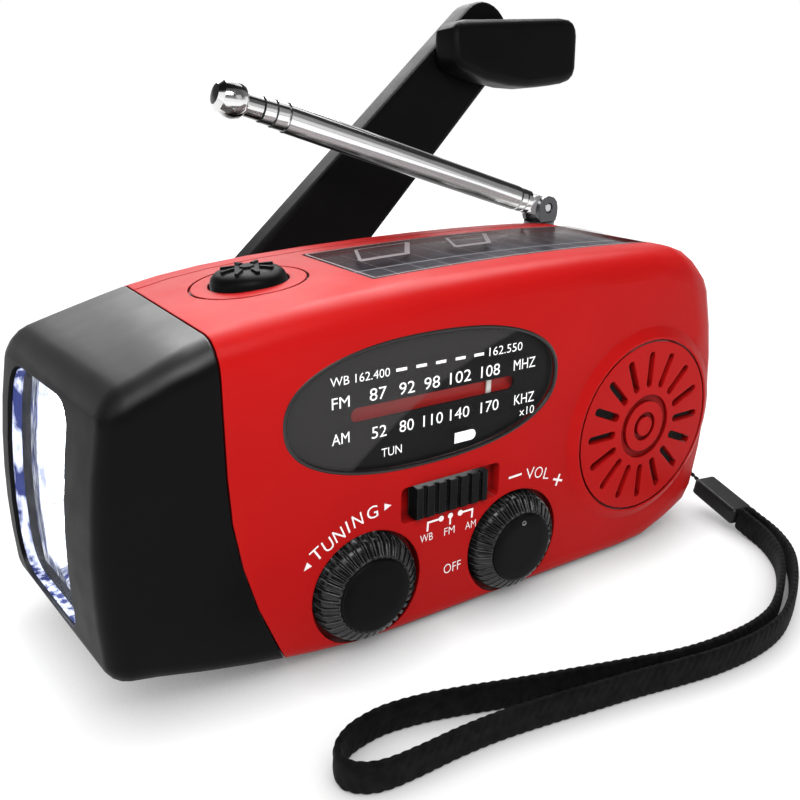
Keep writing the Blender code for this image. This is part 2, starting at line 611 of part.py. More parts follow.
# --- back: crank, gears, dynamo -----------------------------------------------------------
def gear_outline(teeth, backlash=0.00011):
    """Straight-flanked gear outline with slim teeth, one tooth centred on +X."""
    pitch = MODULE * teeth / 2
    tip, root = pitch + 0.70 * MODULE, pitch - 1.05 * MODULE
    step = 2 * math.pi / teeth
    half_pitch = step / 4 - backlash / pitch
    half_tip = half_pitch - 0.70 * MODULE * math.tan(math.radians(22)) / pitch
    half_root = half_pitch + 0.60 * MODULE * math.tan(math.radians(12)) / pitch
    points = []
    for i in range(teeth):
        a = i * step
        for r, d in ((root, -half_root), (tip, -half_tip), (tip, half_tip), (root, half_root)):
            points.append((r * math.cos(a + d), r * math.sin(a + d)))
    return points


def crank_axes():
    """Arm direction, hinge direction across the arm, and the arm's outward normal."""
    flat = Vector((math.cos(ARM_SPIN), 0, math.sin(ARM_SPIN)))
    across = Vector((-math.sin(ARM_SPIN), 0, math.cos(ARM_SPIN)))
    along = flat * math.cos(ARM_FOLD) + Vector((0, 1, 0)) * math.sin(ARM_FOLD)
    return along, across, along.cross(across) * -1


def hinge_at(obj, point):
    """Move an object's origin to a point on its hinge line."""
    shift = Vector(point) - obj.matrix_world.translation
    obj.data.transform(Matrix.Translation(-shift))
    obj.matrix_world = Matrix.Translation(point)
    return obj


def frame_of(origin, x, y, z):
    return Matrix.Translation(origin) @ Matrix((x, y, z)).transposed().to_4x4()


def crank():
    along, across, outward = crank_axes()
    flat = Vector((math.cos(ARM_SPIN), 0, math.sin(ARM_SPIN)))
    seat = Vector((HUB.x, 0, HUB.z))
    # hub disc with two ears that hold the fold pin
    hub = turned("crank_hub", [(0, 0.0230), (0.0121, 0.0230), (0.0126, 0.0225), (0.0126, 0.0206), (0, 0.0206)],
                 aimed(seat, (0, 1, 0), flat), "black", 40)
    for side in (-1, 1):
        ear = plate("ear_%d" % side, rounded(0.0072, 0.0088, 0.0030, 3), 0.0022,
                    frame_of(HUB + across * side * 0.0112 - Vector((0, 0.0012, 0)), flat, Vector((0, 1, 0)), flat.cross(Vector((0, 1, 0)))))
        join(hub, ear)
    cut(hub, rod("pin_hole", HUB - across * 0.02, HUB + across * 0.02, 0.0016, segments=20))
    rod("crank_hinge_pin", HUB - across * 0.0122, HUB + across * 0.0122, 0.0013, "steel", 20)

    # tapered arm: flat bar with a round tip, its root rolled about the fold pin
    pts = [(-0.0029, -ARM_ROOT_W / 2), (0.0, -ARM_ROOT_W / 2)]
    pts += [(ARM_LENGTH + ARM_TIP_W / 2 * math.sin(a), -ARM_TIP_W / 2 * math.cos(a))
            for a in (math.pi * i / 14 for i in range(15))]
    pts += [(0.0, ARM_ROOT_W / 2), (-0.0029, ARM_ROOT_W / 2)]
    arm = plate("crank_arm", pts, ARM_T, frame_of(HUB, along, across, outward), "black")
    bevel(arm, 0.0009, 2, 50)
    tip = HUB + along * GRIP_PIN
    cut(arm, rod("arm_bore", HUB - across * 0.02, HUB + across * 0.02, 0.0016, segments=20),
        rod("arm_tip_bore", tip - outward * 0.01, tip + outward * 0.01, 0.0018, segments=20))

    # grip: a rounded block turning on its pin, on the arm's inner side
    heading = along * math.cos(GRIP_ANGLE) + across * math.sin(GRIP_ANGLE)
    beside = outward.cross(heading)
    lift = ARM_T / 2 + GAP + GRIP_SIZE[2] / 2
    place = frame_of(tip - outward * lift, heading, beside, outward)
    # outline in units of the grip's length and width: straight on one side, tapered to the pin on the other
    outline = [(-0.36, 0.12), (-0.355, -0.10), (-0.345, -0.23), (-0.31, -0.31), (-0.26, -0.335), (0.52, -0.335), (0.58, -0.315),
               (0.62, -0.26), (0.64, -0.17), (0.645, -0.05), (0.62, 0.45), (0.60, 0.55), (0.56, 0.62), (0.50, 0.65),
               (0.40, 0.665), (0.20, 0.665), (0.05, 0.62), (-0.12, 0.52), (-0.28, 0.37), (-0.33, 0.30), (-0.355, 0.21)]
    length, width, thick = GRIP_SIZE
    grip = plate("crank_grip", [(x * length, y * width) for x, y in outline], thick, place, "black")
    bevel(grip, 0.0016, 3, 50)
    cut(grip, rod("grip_bore", tip - outward * 0.0095, tip + outward * 0.01, 0.0018, segments=20))
    rod("grip_pin", tip - outward * 0.0092, tip + outward * (ARM_T / 2 + 0.0004), 0.0015, "steel", 20)


def gears():
    seat = Vector((HUB.x, 0, HUB.z))
    turned("crank_bush", [(0.0029, BACK - 0.0024), (0.0040, BACK - 0.0024), (0.0040, BACK - 0.0050), (0.0029, BACK - 0.0050)],
           aimed(seat, (0, 1, 0)), "brass", 28, ring=True)
    rod("crank_shaft", seat + Vector((0, 0.0110, 0)), seat + Vector((0, 0.0203, 0)), 0.0025, "steel", 28)
    middle = sum(GEAR_Y) / 2
    reach = MODULE * (GEAR_TEETH + PINION_TEETH) / 2
    centre = seat + Vector((math.cos(ROTOR_ANGLE), 0, math.sin(ROTOR_ANGLE))) * reach
    # both outlines are drawn in the XZ plane, seen from the back side as from the front
    flat = frame_of(seat + Vector((0, middle, 0)), Vector((1, 0, 0)), Vector((0, 0, 1)), Vector((0, -1, 0)))
    turn = Matrix.Rotation(ROTOR_ANGLE, 4, "Z")
    wheel = plate("crank_gear", gear_outline(GEAR_TEETH), GEAR_Y[1] - GEAR_Y[0], flat @ turn, "nylon")
    cut(wheel, rod("gear_bore", seat, seat + Vector((0, 0.03, 0)), 0.0028))

    flat = frame_of(centre + Vector((0, middle, 0)), Vector((1, 0, 0)), Vector((0, 0, 1)), Vector((0, -1, 0)))
    turn = Matrix.Rotation(ROTOR_ANGLE + math.pi + math.pi / PINION_TEETH, 4, "Z")
    rotor = plate("dynamo_rotor", gear_outline(PINION_TEETH), GEAR_Y[1] - GEAR_Y[0], flat @ turn, "steel")
    join(rotor, rod("rotor_shaft", centre + Vector((0, 0.0085, 0)), centre + Vector((0, GEAR_Y[1] - 0.0004, 0)), 0.0010, segments=16),
         rod("rotor_drum", centre + Vector((0, 0.0015, 0)), centre + Vector((0, 0.0090, 0)), 0.0070, segments=28))
    turned("dynamo_can", [(0, 0.0010), (0.0082, 0.0010), (0.0082, 0.0094), (0.0016, 0.0094), (0.0016, 0.0105),
                          (0.0098, 0.0105), (0.0098, -0.0005), (0, -0.0005)], aimed(centre, (0, 1, 0)), "steel", 32)
    lower = min(seat.z, centre.z) - 0.0105
    frame = box("gear_plate", (-0.0335, 0.0116, lower), (0.0040, 0.0126, 0.0530), "steel")
    cut(frame, rod("plate_shaft_hole", seat, seat + Vector((0, 0.03, 0)), 0.0030, segments=20),
        rod("plate_rotor_hole", centre, centre + Vector((0, 0.03, 0)), 0.0018, segments=16))


# --- antenna ------------------------------------------------------------------------------
def antenna():
    along = Vector((-math.cos(ANTENNA_TILT), 0, math.sin(ANTENNA_TILT)))
    x, y, z = ANTENNA
    turret = turned("antenna_turret", [(0, z - 0.0030), (0.0033, z - 0.0030), (0.0033, 0.0540), (0, 0.0540)],
                    aimed((x, y, 0), (0, 0, 1)), "chrome", 28)
    for side in (-1, 1):
        cheek = plate("cheek_%d" % side, rounded(0.0052, 0.0062, 0.0024, 3), 0.0011, facing(x, y + side * 0.0022, z - 0.0007))
        join(turret, cheek)
    cut(turret, rod("turret_pin_hole", (x, y - 0.006, z), (x, y + 0.006, z), 0.0011, segments=16))
    rod("antenna_pin", (x, y - 0.0026, z), (x, y + 0.0026, z), 0.0008, "steel", 16)

    foot = turned("antenna_foot", [(0, 0.0092), (0.0019, 0.0092), (0.0019, 0.0076), (0.0025, 0.0074), (0.0025, 0.0060),
                                   (0.0022, 0.0058), (0.0025, 0.0056), (0.0025, 0.0044), (0.0016, 0.0036), (0, 0.0036)],
                  aimed(ANTENNA, along), "chrome", 28)
    tongue = plate("tongue", rounded(0.0040, 0.0060, 0.0019, 3), 0.0026,
                   frame_of(ANTENNA + along * 0.0012, Vector((0, 1, 0)).cross(along), along, Vector((0, -1, 0))))
    join(foot, tongue)
    cut(foot, rod("tongue_hole", (x, y - 0.006, z), (x, y + 0.006, z), 0.0011, segments=16))

    def tube(name, outer, inner, start, end, collar=None, colour="chrome"):
        profile = [(inner, end), (outer, end), (outer, start), (inner, start)]
        if collar:
            radius, length = collar
            profile = [(inner, end), (radius, end), (radius, end - length), (outer, end - length), (outer, start), (inner, start)]
        return turned(name, profile, aimed(ANTENNA, along), colour, 28, ring=True)

    tube("antenna_tube_1", 0.0026, 0.0023, 0.0079, 0.0626)
    tube("antenna_tube_2", 0.0020, 0.0017, 0.0098, 0.0650, (0.00238, 0.0021))
    tube("antenna_tube_3", 0.0014, 0.0011, 0.0101, 0.0673, (0.0022, 0.0020))
    turned("antenna_rod", [(0, 0.0759), (0.0017, 0.0757), (0.0027, 0.0749), (0.0031, 0.0736), (0.0031, 0.0723), (0.0027, 0.0711),
                           (0.0020, 0.0704), (0.0020, 0.0676), (0.0008, 0.0676), (0.0008, 0.0104), (0, 0.0104)],
           aimed(ANTENNA, along), "chrome", 28)


# --- inside and back ----------------------------------------------------------------------
DOOR_X, DOOR_Z = (0.0060, 0.0440), (0.0050, 0.0240)
PORT_X, PORT_Z = (0.0270, 0.0500), (0.0330, 0.0420)


def electronics():
    board = box("main_board", (0.0180, 0.0010, 0.0050), (0.0545, 0.0022, 0.0500), "board")
    battery = box("battery", (0.0075, 0.0080, 0.0058), (0.0425, 0.0204, 0.0232), "wrap")
    bevel(battery, 0.0012, 2)
    # battery door: flush panel with a rolled hinge along its lower edge
    door = box("battery_door", (DOOR_X[0], BACK - 0.0016, DOOR_Z[0]), (DOOR_X[1], BACK, DOOR_Z[1]), "red")
    hinge_at(bevel(door, 0.0003, 1), ((DOOR_X[0] + DOOR_X[1]) / 2, BACK, DOOR_Z[0]))
    # ports and their soft cover
    usb = box("usb_port", (0.0285, 0.0080, 0.0346), (0.0405, BACK - 0.0016, 0.0404), "steel")
    for z in (0.0358, 0.0392):    # the gaps above and below the socket's tongue
        cut(usb, box("usb_mouth", (0.0292, 0.0120, z - 0.0005), (0.0398, 0.03, z + 0.0005)))
    charge = box("charge_port", (0.0430, 0.0140, 0.0360), (0.0488, BACK - 0.0016, 0.0388), "steel")
    cut(charge, box("charge_mouth", (0.0435, 0.0170, 0.0365), (0.0483, 0.03, 0.0383)))
    flap = box("port_cover", (PORT_X[0], BACK - 0.0010, PORT_Z[0]), (PORT_X[1], BACK + 0.0002, PORT_Z[1]), "rubber")
    hinge_at(bevel(flap, 0.0004, 1), ((PORT_X[0] + PORT_X[1]) / 2, BACK + 0.0002, PORT_Z[0]))


# --- strap --------------------------------------------------------------------------------
def through(points, spacing, closed=False):
    """Evenly spaced points on a smooth curve through the route's points."""
    pts = [Vector(p) for p in points]
    if not closed:
        pts = [pts[0] * 2 - pts[1]] + pts + [pts[-1] * 2 - pts[-2]]
    dense = []
    for i in range(1, len(pts) - 2):
        p0, p1, p2, p3 = pts[i - 1:i + 3]
        for k in range(20):
            t = k / 20
            dense.append(0.5 * (2 * p1 + (p2 - p0) * t + (2 * p0 - 5 * p1 + 4 * p2 - p3) * t ** 2
                                + (3 * p1 - p0 - 3 * p2 + p3) * t ** 3))
    dense.append(pts[-2])
    total = sum((b - a).length for a, b in zip(dense, dense[1:]))
    count = max(2, round(total / spacing))
    out, walked, goal = [dense[0]], 0.0, total / count
    for a, b in zip(dense, dense[1:]):
        length = (b - a).length
        while length and walked + length >= goal * len(out) and len(out) < count:
            out.append(a.lerp(b, (goal * len(out) - walked) / length))
        walked += length
    return out + [dense[-1]]


def cord(name, points, radius, spacing, colour):
    route = through(points, spacing)
    curve = bpy.data.curves.new(name, "CURVE")
    curve.dimensions, curve.bevel_depth, curve.bevel_resolution, curve.use_fill_caps = "3D", radius, 2, True
    spline = curve.splines.new("POLY")
    spline.points.add(len(route) - 1)
    for point, co in zip(spline.points, route):
        point.co = (*co, 1)
    obj = bpy.data.objects.new(name, curve)
    curve.materials.append(material(colour, name))
    PARTS.objects.link(obj)
    return obj


def beside(points, shift):
    """A route beside another one, shifted to its left seen from above."""
    out = []
    for i, p in enumerate(points):
        ahead = points[min(i + 1, len(points) - 1)] - points[max(i - 1, 0)]
        out.append(p + Vector((-ahead.y, ahead.x, 0)).normalized() * shift)
    return out


def strap():
    """Bar in the end pocket, thread, clip, and the band lying as one long narrow loop."""
    bx, by, bz = STRAP_BAR
    rod("strap_bar", (bx, by, bz - 0.0032), (bx, by, bz + 0.0032), 0.0009, "steel", 16)
    axis = (CLIP_TO - CLIP_FROM).normalized()
    side = axis.cross(Vector((0, 0, 1))).normalized()
    up = side.cross(axis)
    clip = plate("strap_clip", rounded((CLIP_TO - CLIP_FROM).length, 0.0052, 0.0009, 3), 0.0036,
                 frame_of((CLIP_FROM + CLIP_TO) / 2, axis, side, up), "black")
    bevel(clip, 0.0005, 1, 50)

    start = Vector((bx + 0.0009 + GAP, by, bz))
    cord("strap_thread", [start, (0.0635, -0.0066, 0.0136), (0.0652, -0.0086, 0.0121), (0.0661, -0.0116, 0.0095),
                          (0.0658, -0.0150, 0.0070), CLIP_FROM - axis * 2 * GAP], 0.0005, 0.0016, "fabric")

    # the two runs lie side by side from the clip to x = 15 mm, then part round the loop's end
    pair = [CLIP_TO + axis * GAP, CLIP_TO + axis * 0.0030]
    pair += [Vector((x, y, STRAP_Z)) for x, y in (
        (0.0624, -0.0367), (0.0604, -0.0402), (0.0577, -0.0436), (0.0543, -0.0466), (0.0494, -0.0499),
        (0.0433, -0.0532), (0.0370, -0.0556), (0.0300, -0.0565), (0.0220, -0.0561), (0.0150, -0.0549))]
    loop = [Vector((x, y, STRAP_Z)) for x, y in (
        (0.0064, -0.0541), (-0.0005, -0.0528), (-0.0090, -0.0512), (-0.0166, -0.0500), (-0.0232, -0.0495),
        (-0.0297, -0.0494), (-0.0342, -0.0491), (-0.0370, -0.0482), (-0.0388, -0.0466), (-0.0392, -0.0449),
        (-0.0383, -0.0430), (-0.0362, -0.0415), (-0.0336, -0.0407), (-0.0295, -0.0404), (-0.0241, -0.0413),
        (-0.0183, -0.0430), (-0.0126, -0.0450), (-0.0067, -0.0470), (-0.0005, -0.0490), (0.0070, -0.0514))]
    route = beside(pair, STRAP_PITCH / 2) + loop + beside(pair, -STRAP_PITCH / 2)[::-1]
    cord("wrist_strap", route, STRAP_R, 0.0036, "fabric")


covers()
lamp()
dial()
controls()
speaker()
top_side()
crank()
gears()
antenna()
electronics()
strap()
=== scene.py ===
"""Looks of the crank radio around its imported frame.

Materials, dial and case print, ribbed knobs, braided strap and the fine detail of the solar top and the lamp.
"""
import math

import bmesh
import bpy
from mathutils import Matrix, Vector


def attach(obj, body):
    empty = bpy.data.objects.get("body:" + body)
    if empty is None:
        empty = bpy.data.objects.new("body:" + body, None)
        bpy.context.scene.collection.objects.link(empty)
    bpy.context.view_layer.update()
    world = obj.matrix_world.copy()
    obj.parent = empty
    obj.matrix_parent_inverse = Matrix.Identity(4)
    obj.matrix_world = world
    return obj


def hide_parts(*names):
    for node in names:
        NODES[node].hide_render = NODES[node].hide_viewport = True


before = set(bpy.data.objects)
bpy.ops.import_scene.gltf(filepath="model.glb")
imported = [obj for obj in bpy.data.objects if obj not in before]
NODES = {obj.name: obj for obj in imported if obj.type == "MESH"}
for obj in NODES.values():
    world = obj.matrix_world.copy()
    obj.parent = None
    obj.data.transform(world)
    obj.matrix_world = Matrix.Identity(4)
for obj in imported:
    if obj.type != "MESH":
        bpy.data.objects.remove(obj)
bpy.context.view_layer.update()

MM = 0.001
FRONT_Y = -0.0225                 # flat face of the case with the dial and knobs
WINDOW_Y = -0.0224                # face of the dial window
DIAL = (-0.0094, 0.0406)          # centre of the dial window (x, z)
DIAL_HALF = (0.02515, 0.01045)    # half width and half height of its gasket
TUNING = (-0.0213, 0.0112)        # knob centres (x, z)
VOLUME = (0.0082, 0.0108)
RED = (0.52, 0.0075, 0.0075)
BLACK = (0.0042, 0.0042, 0.0045)
scene = bpy.context.scene


# --- camera ------------------------------------------------------------------------------
CAMERA_AT = Vector((-0.08058, -0.12072, 0.08388))
CAMERA_AHEAD = Vector((0.51880, 0.78499, -0.33857))
CAMERA_UP = Vector((0.17749, 0.28851, 0.94088))


def camera():
    data = bpy.data.cameras.new("camera")
    data.lens, data.sensor_width, data.clip_start = 38.0, 36.0, 0.005
    obj = bpy.data.objects.new("camera", data)
    scene.collection.objects.link(obj)
    ahead = CAMERA_AHEAD.normalized()
    right = ahead.cross(CAMERA_UP).normalized()
    up = right.cross(ahead)
    turn = Matrix((right, up, -ahead)).transposed().to_4x4()
    obj.matrix_world = Matrix.Translation(CAMERA_AT) @ turn
    scene.camera = obj


# --- making pieces -----------------------------------------------------------------------
def piece(name, mesh, body, material, smooth=True):
    """Object made from a mesh, which rides on a body and takes the material it is given."""
    obj = bpy.data.objects.new(name, mesh)
    scene.collection.objects.link(obj)
    if smooth:
        mesh.shade_smooth()
    mesh.materials.append(material)
    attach(obj, body)
    return obj


def mesh_of(bm, name):
    bmesh.ops.recalc_face_normals(bm, faces=bm.faces)
    mesh = bpy.data.meshes.new(name)
    bm.to_mesh(mesh)
    bm.free()
    return mesh


def modify(obj, kind, **settings):
    modifier = obj.modifiers.new(kind.lower(), kind)
    for key, value in settings.items():
        setattr(modifier, key, value)
    return modifier


def turns(count):
    """Even angles round a full circle."""
    return [2 * math.pi * k / count for k in range(count)]


def superellipse(c, s, power_c, power_s):
    """A circle's cosine and sine, swelled towards a box with rounded corners."""
    return math.copysign(abs(c) ** power_c, c), math.copysign(abs(s) ** power_s, s)


def sweep(bm, rings, closed=False):
    """Skin of quads through rings of points with the same count, capped at its ends unless it is closed."""
    loops = [[bm.verts.new(p) for p in ring] for ring in rings]
    pairs = list(zip(loops, loops[1:])) + ([(loops[-1], loops[0])] if closed else [])
    for a, b in pairs:
        n = len(a)
        for j in range(n):
            bm.faces.new((a[j], a[(j + 1) % n], b[(j + 1) % n], b[j]))
    if not closed:
        bm.faces.new(loops[0][::-1])
        bm.faces.new(loops[-1])


def through(points, spacing):
    """Evenly spaced points on a smooth curve through the route's points."""
    pts = [Vector(p) for p in points]
    pts = [pts[0] * 2 - pts[1]] + pts + [pts[-1] * 2 - pts[-2]]
    steps = 20
    dense = []
    for i in range(1, len(pts) - 2):
        p0, p1, p2, p3 = pts[i - 1:i + 3]
        for k in range(steps):
            t = k / steps
            dense.append(0.5 * (2 * p1 + (p2 - p0) * t + (2 * p0 - 5 * p1 + 4 * p2 - p3) * t ** 2
                                + (3 * p1 - p0 - 3 * p2 + p3) * t ** 3))
    dense.append(pts[-2])
    total = sum((b - a).length for a, b in zip(dense, dense[1:]))
    count = max(2, round(total / spacing))
    out, walked, goal = [dense[0]], 0.0, total / count
    for a, b in zip(dense, dense[1:]):
        length = (b - a).length
        while length and walked + length >= goal * len(out) and len(out) < count:
            out.append(a.lerp(b, (goal * len(out) - walked) / length))
        walked += length
    return out + [dense[-1]]


def heading(route, i):
    """The way that a route runs at one of its points."""
    return route[min(i + 1, len(route) - 1)] - route[max(i - 1, 0)]


# --- materials ---------------------------------------------------------------------------
def tint(value):
    """A colour with its alpha; anything else unchanged."""
    return (*value, 1.0) if isinstance(value, tuple) and len(value) == 3 else value


def shade(colour, factor):
    return tuple(min(1.0, c * factor) for c in colour)


class Surface:
    """One procedural material, with patterns laid out in the part's own metres."""

    SOCKETS = {"colour": "Base Color", "rough": "Roughness", "metal": "Metallic", "alpha": "Alpha",
               "spec": "Specular IOR Level", "glow": "Emission Color", "glow_strength": "Emission Strength",
               "sheen": "Sheen Weight", "sheen_rough": "Sheen Roughness"}

    def __init__(self, name):
        self.mat = bpy.data.materials.new(name)
        self.mat.use_nodes = True
        self.tree = self.mat.node_tree
        self.tree.nodes.clear()
        self.shader = self.node("BsdfPrincipled")
        output = self.node("OutputMaterial")
        self.link(self.shader.outputs[0], output.inputs[0])
        self.place = self.node("TexCoord").outputs["Object"]

    def node(self, kind, **settings):
        made = self.tree.nodes.new("ShaderNode" + kind)
        for key, value in settings.items():
            setattr(made, key, value)
        return made

    def link(self, a, b):
        self.tree.links.new(a, b)

    def put(self, value, socket):
        if isinstance(value, bpy.types.NodeSocket):
            self.link(value, socket)
        else:
            socket.default_value = value

    def math(self, kind, a, b=0.0, clamp=False):
        made = self.node("Math", operation=kind, use_clamp=clamp)
        self.put(a, made.inputs[0])
        self.put(b, made.inputs[1])
        return made.outputs[0]

    def stretch(self, value, low, high, to_low=0.0, to_high=1.0):
        """A value's range from low to high, spread over another range and held inside it."""
        made = self.node("MapRange", clamp=True)
        for v, socket in zip((value, low, high, to_low, to_high), made.inputs):
            self.put(v, socket)
        return made.outputs[0]

    def noise(self, size, detail=3.0, scale=(1, 1, 1)):
        mapping = self.node("Mapping")
        mapping.inputs["Scale"].default_value = scale
        self.link(self.place, mapping.inputs[0])
        made = self.node("TexNoise")
        self.link(mapping.outputs[0], made.inputs["Vector"])
        made.inputs["Scale"].default_value = 1.0 / size
        made.inputs["Detail"].default_value = detail
        made.inputs["Roughness"].default_value = 0.55
        return made.outputs[0]

    def split(self, vector):
        made = self.node("SeparateXYZ")
        self.link(vector, made.inputs[0])
        return made.outputs

    def xyz(self):
        return self.split(self.place)

    def normal(self):
        return self.node("NewGeometry").outputs["Normal"]

    def mix(self, share, a, b):
        made = self.node("Mix", data_type="RGBA")
        self.put(share, made.inputs[0])
        self.put(tint(a), made.inputs[6])
        self.put(tint(b), made.inputs[7])
        return made.outputs[2]

    def edges(self, radius):
        """1 along sharp edges, 0 on flat areas, and the rounded normal itself."""
        rounded = self.node("Bevel", samples=4)
        rounded.inputs["Radius"].default_value = radius
        dot = self.node("VectorMath", operation="DOT_PRODUCT")
        self.link(rounded.outputs[0], dot.inputs[0])
        self.link(self.normal(), dot.inputs[1])
        return self.stretch(dot.outputs["Value"], 0.995, 0.90), rounded.outputs[0]

    def relief(self, height, distance, normal=None):
        bump = self.node("Bump")
        self.put(height, bump.inputs["Height"])
        bump.inputs["Distance"].default_value = distance
        bump.inputs["Strength"].default_value = 1.0
        if normal:
            self.link(normal, bump.inputs["Normal"])
        self.link(bump.outputs[0], self.shader.inputs["Normal"])

    def set(self, **values):
        for key, value in values.items():
            self.put(tint(value), self.shader.inputs[self.SOCKETS[key]])


def plastic(name, colour, rough, vary=0.07, vary_size=0.014, grain=0.0005, depth=0.000006,
            wear_and_highlight=1.25, edge=0.0003, shade_hollows=False, **extra):
    """Moulded plastic: slight colour drift, fine moulded grain, uneven gloss, paler edges that are partly
    rubbed wear and partly painted highlight, and, if asked, painted shade in grooves and wells.

    A pair for spec is its value on upright faces and on faces that look up.
    """
    s = Surface(name)
    drift = s.stretch(s.noise(vary_size, 4), 0.3, 0.7)
    body = s.mix(drift, shade(colour, 1 - vary), shade(colour, 1 + vary))
    mask, normal = s.edges(edge)
    # paler edges: partly rubbed wear, partly painted highlight lightening the colour along them
    scuff_and_highlight = s.math("MULTIPLY", mask, s.stretch(s.noise(0.004, 3), 0.35, 0.65), clamp=True)
    # painted shade: the colour darkens where ambient occlusion finds a groove or well
    if shade_hollows:    # grooves and wells gather shade
        hollow_shade = s.node("AmbientOcclusion", samples=6)
        hollow_shade.inputs["Distance"].default_value = 0.0016
        body = s.mix(s.stretch(hollow_shade.outputs["AO"], 0.35, 0.95), shade(colour, 0.28), body)
    if isinstance(extra.get("spec"), tuple):
        up = s.split(s.normal())[2]
        extra["spec"] = s.stretch(up, 0.35, 0.90, *extra["spec"])
    gloss = s.stretch(s.noise(vary_size * 0.4, 4), 0.25, 0.75, rough - 0.05, rough + 0.05)
    s.set(colour=s.mix(scuff_and_highlight, body, shade(colour, wear_and_highlight)), rough=gloss, **extra)
    s.relief(s.noise(grain, 2), depth, normal)
    return s.mat


def metal(name, colour, rough):
    """Plated metal with faint marks and uneven gloss."""
    s = Surface(name)
    drift = s.stretch(s.noise(0.006, 4), 0.3, 0.7)
    _, normal = s.edges(0.0002)
    s.set(colour=s.mix(drift, shade(colour, 0.95), shade(colour, 1.05)), metal=1.0,
          rough=s.stretch(s.noise(0.003, 4), 0.3, 0.75, rough - 0.04, rough + 0.04))
    s.relief(s.noise(0.0008, 3), 0.000003, normal)
    return s.mat


# painted reflection: the chrome's colour is banded dark and pale by which way its surface faces
PAINTED_REFLECTION_ACROSS = (0.0, 0.396, 0.918)     # the bands turn dark and pale along this direction
PAINTED_REFLECTION_BANDS = ((0.09, 0.95), (0.16, 0.85), (0.52, 0.62), (0.57, 0.06), (0.76, 0.05), (0.80, 0.95),
                (0.93, 0.95))               # place along it from 0 to 1, and grey


def chrome_with_painted_reflection(name, glow):
    """Chrome with a painted reflection: dark and pale bands by turns round the tube, set by which way it
    faces, and the glow it is given.
    """
    s = Surface(name)
    bent = s.node("VectorMath", operation="DOT_PRODUCT")
    s.link(s.normal(), bent.inputs[0])
    bent.inputs[1].default_value = PAINTED_REFLECTION_ACROSS
    ripple = s.stretch(s.noise(0.0012, 2, scale=(0.1, 1, 1)), 0.3, 0.7, -0.02, 0.02)
    wave = s.math("ADD", bent.outputs["Value"], ripple)
    ramp = s.node("ValToRGB")
    s.link(s.stretch(wave, -1.0, 1.0), ramp.inputs[0])
    bands = ramp.color_ramp.elements
    bands[0].position, bands[0].color = 0.03, (0.04, 0.04, 0.04, 1)
    bands[1].position, bands[1].color = 0.985, (0.05, 0.05, 0.05, 1)
    for position, grey in PAINTED_REFLECTION_BANDS:
        bands.new(position).color = (grey, grey, grey, 1)
    s.set(colour=ramp.outputs[0], metal=0.9, spec=0.3, glow=ramp.outputs[0], glow_strength=glow,
          rough=s.stretch(s.noise(0.003, 4), 0.3, 0.75, 0.10, 0.16))
    s.relief(s.noise(0.0008, 3), 0.000002)
    return s.mat


def ink(name, colour, glow=0.0):
    """Printed ink, slightly mottled, with a glow that paints it brighter than the light on it makes it."""
    s = Surface(name)
    mottle = s.stretch(s.noise(0.0006, 3), 0.35, 0.75)
    # painted light: the ink glows by the strength it is given
    s.set(colour=s.mix(mottle, shade(colour, 0.90), colour), rough=0.5, spec=0.2,
          glow=colour, glow_strength=glow)
    s.relief(s.noise(0.0003, 2), 0.000003)
    return s.mat


CREASE_GROUPS = {}


def creases(angle):
    """Node group that shades a mesh smooth and keeps only the edges sharper than an angle."""
    if angle in CREASE_GROUPS:
        return CREASE_GROUPS[angle]
    group = bpy.data.node_groups.new("creases_%d" % angle, "GeometryNodeTree")
    group.interface.new_socket("Geometry", in_out="INPUT", socket_type="NodeSocketGeometry")
    group.interface.new_socket("Geometry", in_out="OUTPUT", socket_type="NodeSocketGeometry")
    start, end = group.nodes.new("NodeGroupInput"), group.nodes.new("NodeGroupOutput")
    bend = group.nodes.new("GeometryNodeInputMeshEdgeAngle")
    more = group.nodes.new("FunctionNodeCompare")
    more.operation = "GREATER_THAN"
    more.inputs[1].default_value = math.radians(angle)
    normal = group.nodes.new("GeometryNodeSetMeshNormal")
    normal.mode = "SHARPNESS"
    normal.inputs["Remove Custom"].default_value = True
    group.links.new(bend.outputs[0], more.inputs[0])
    group.links.new(start.outputs[0], normal.inputs["Mesh"])
    group.links.new(more.outputs[0], normal.inputs["Edge Sharpness"])
    group.links.new(normal.outputs[0], end.inputs[0])
    CREASE_GROUPS[angle] = group
    return group


def paint(node, material, crease=None):
    """Gives a part of the frame its material, and shades it smooth up to a crease angle in degrees."""
    obj = NODES[node]
    obj.data.materials.clear()
    obj.data.materials.append(material)
    if crease:
        modify(obj, "WELD", merge_threshold=0.000004)
        modify(obj, "NODES").node_group = creases(crease)
        modify(obj, "WEIGHTED_NORMAL", keep_sharp=True, weight=60)


# --- lights and surroundings -------------------------------------------------------------
def softbox(name, location, target, size, power):
    data = bpy.data.lights.new(name, "AREA")
    data.shape, data.size, data.size_y, data.energy = "RECTANGLE", size[0], size[1], power
    obj = bpy.data.objects.new(name, data)
    aim = (Vector(target) - Vector(location)).to_track_quat("-Z", "Y").to_matrix().to_4x4()
    obj.matrix_world = Matrix.Translation(location) @ aim
    scene.collection.objects.link(obj)


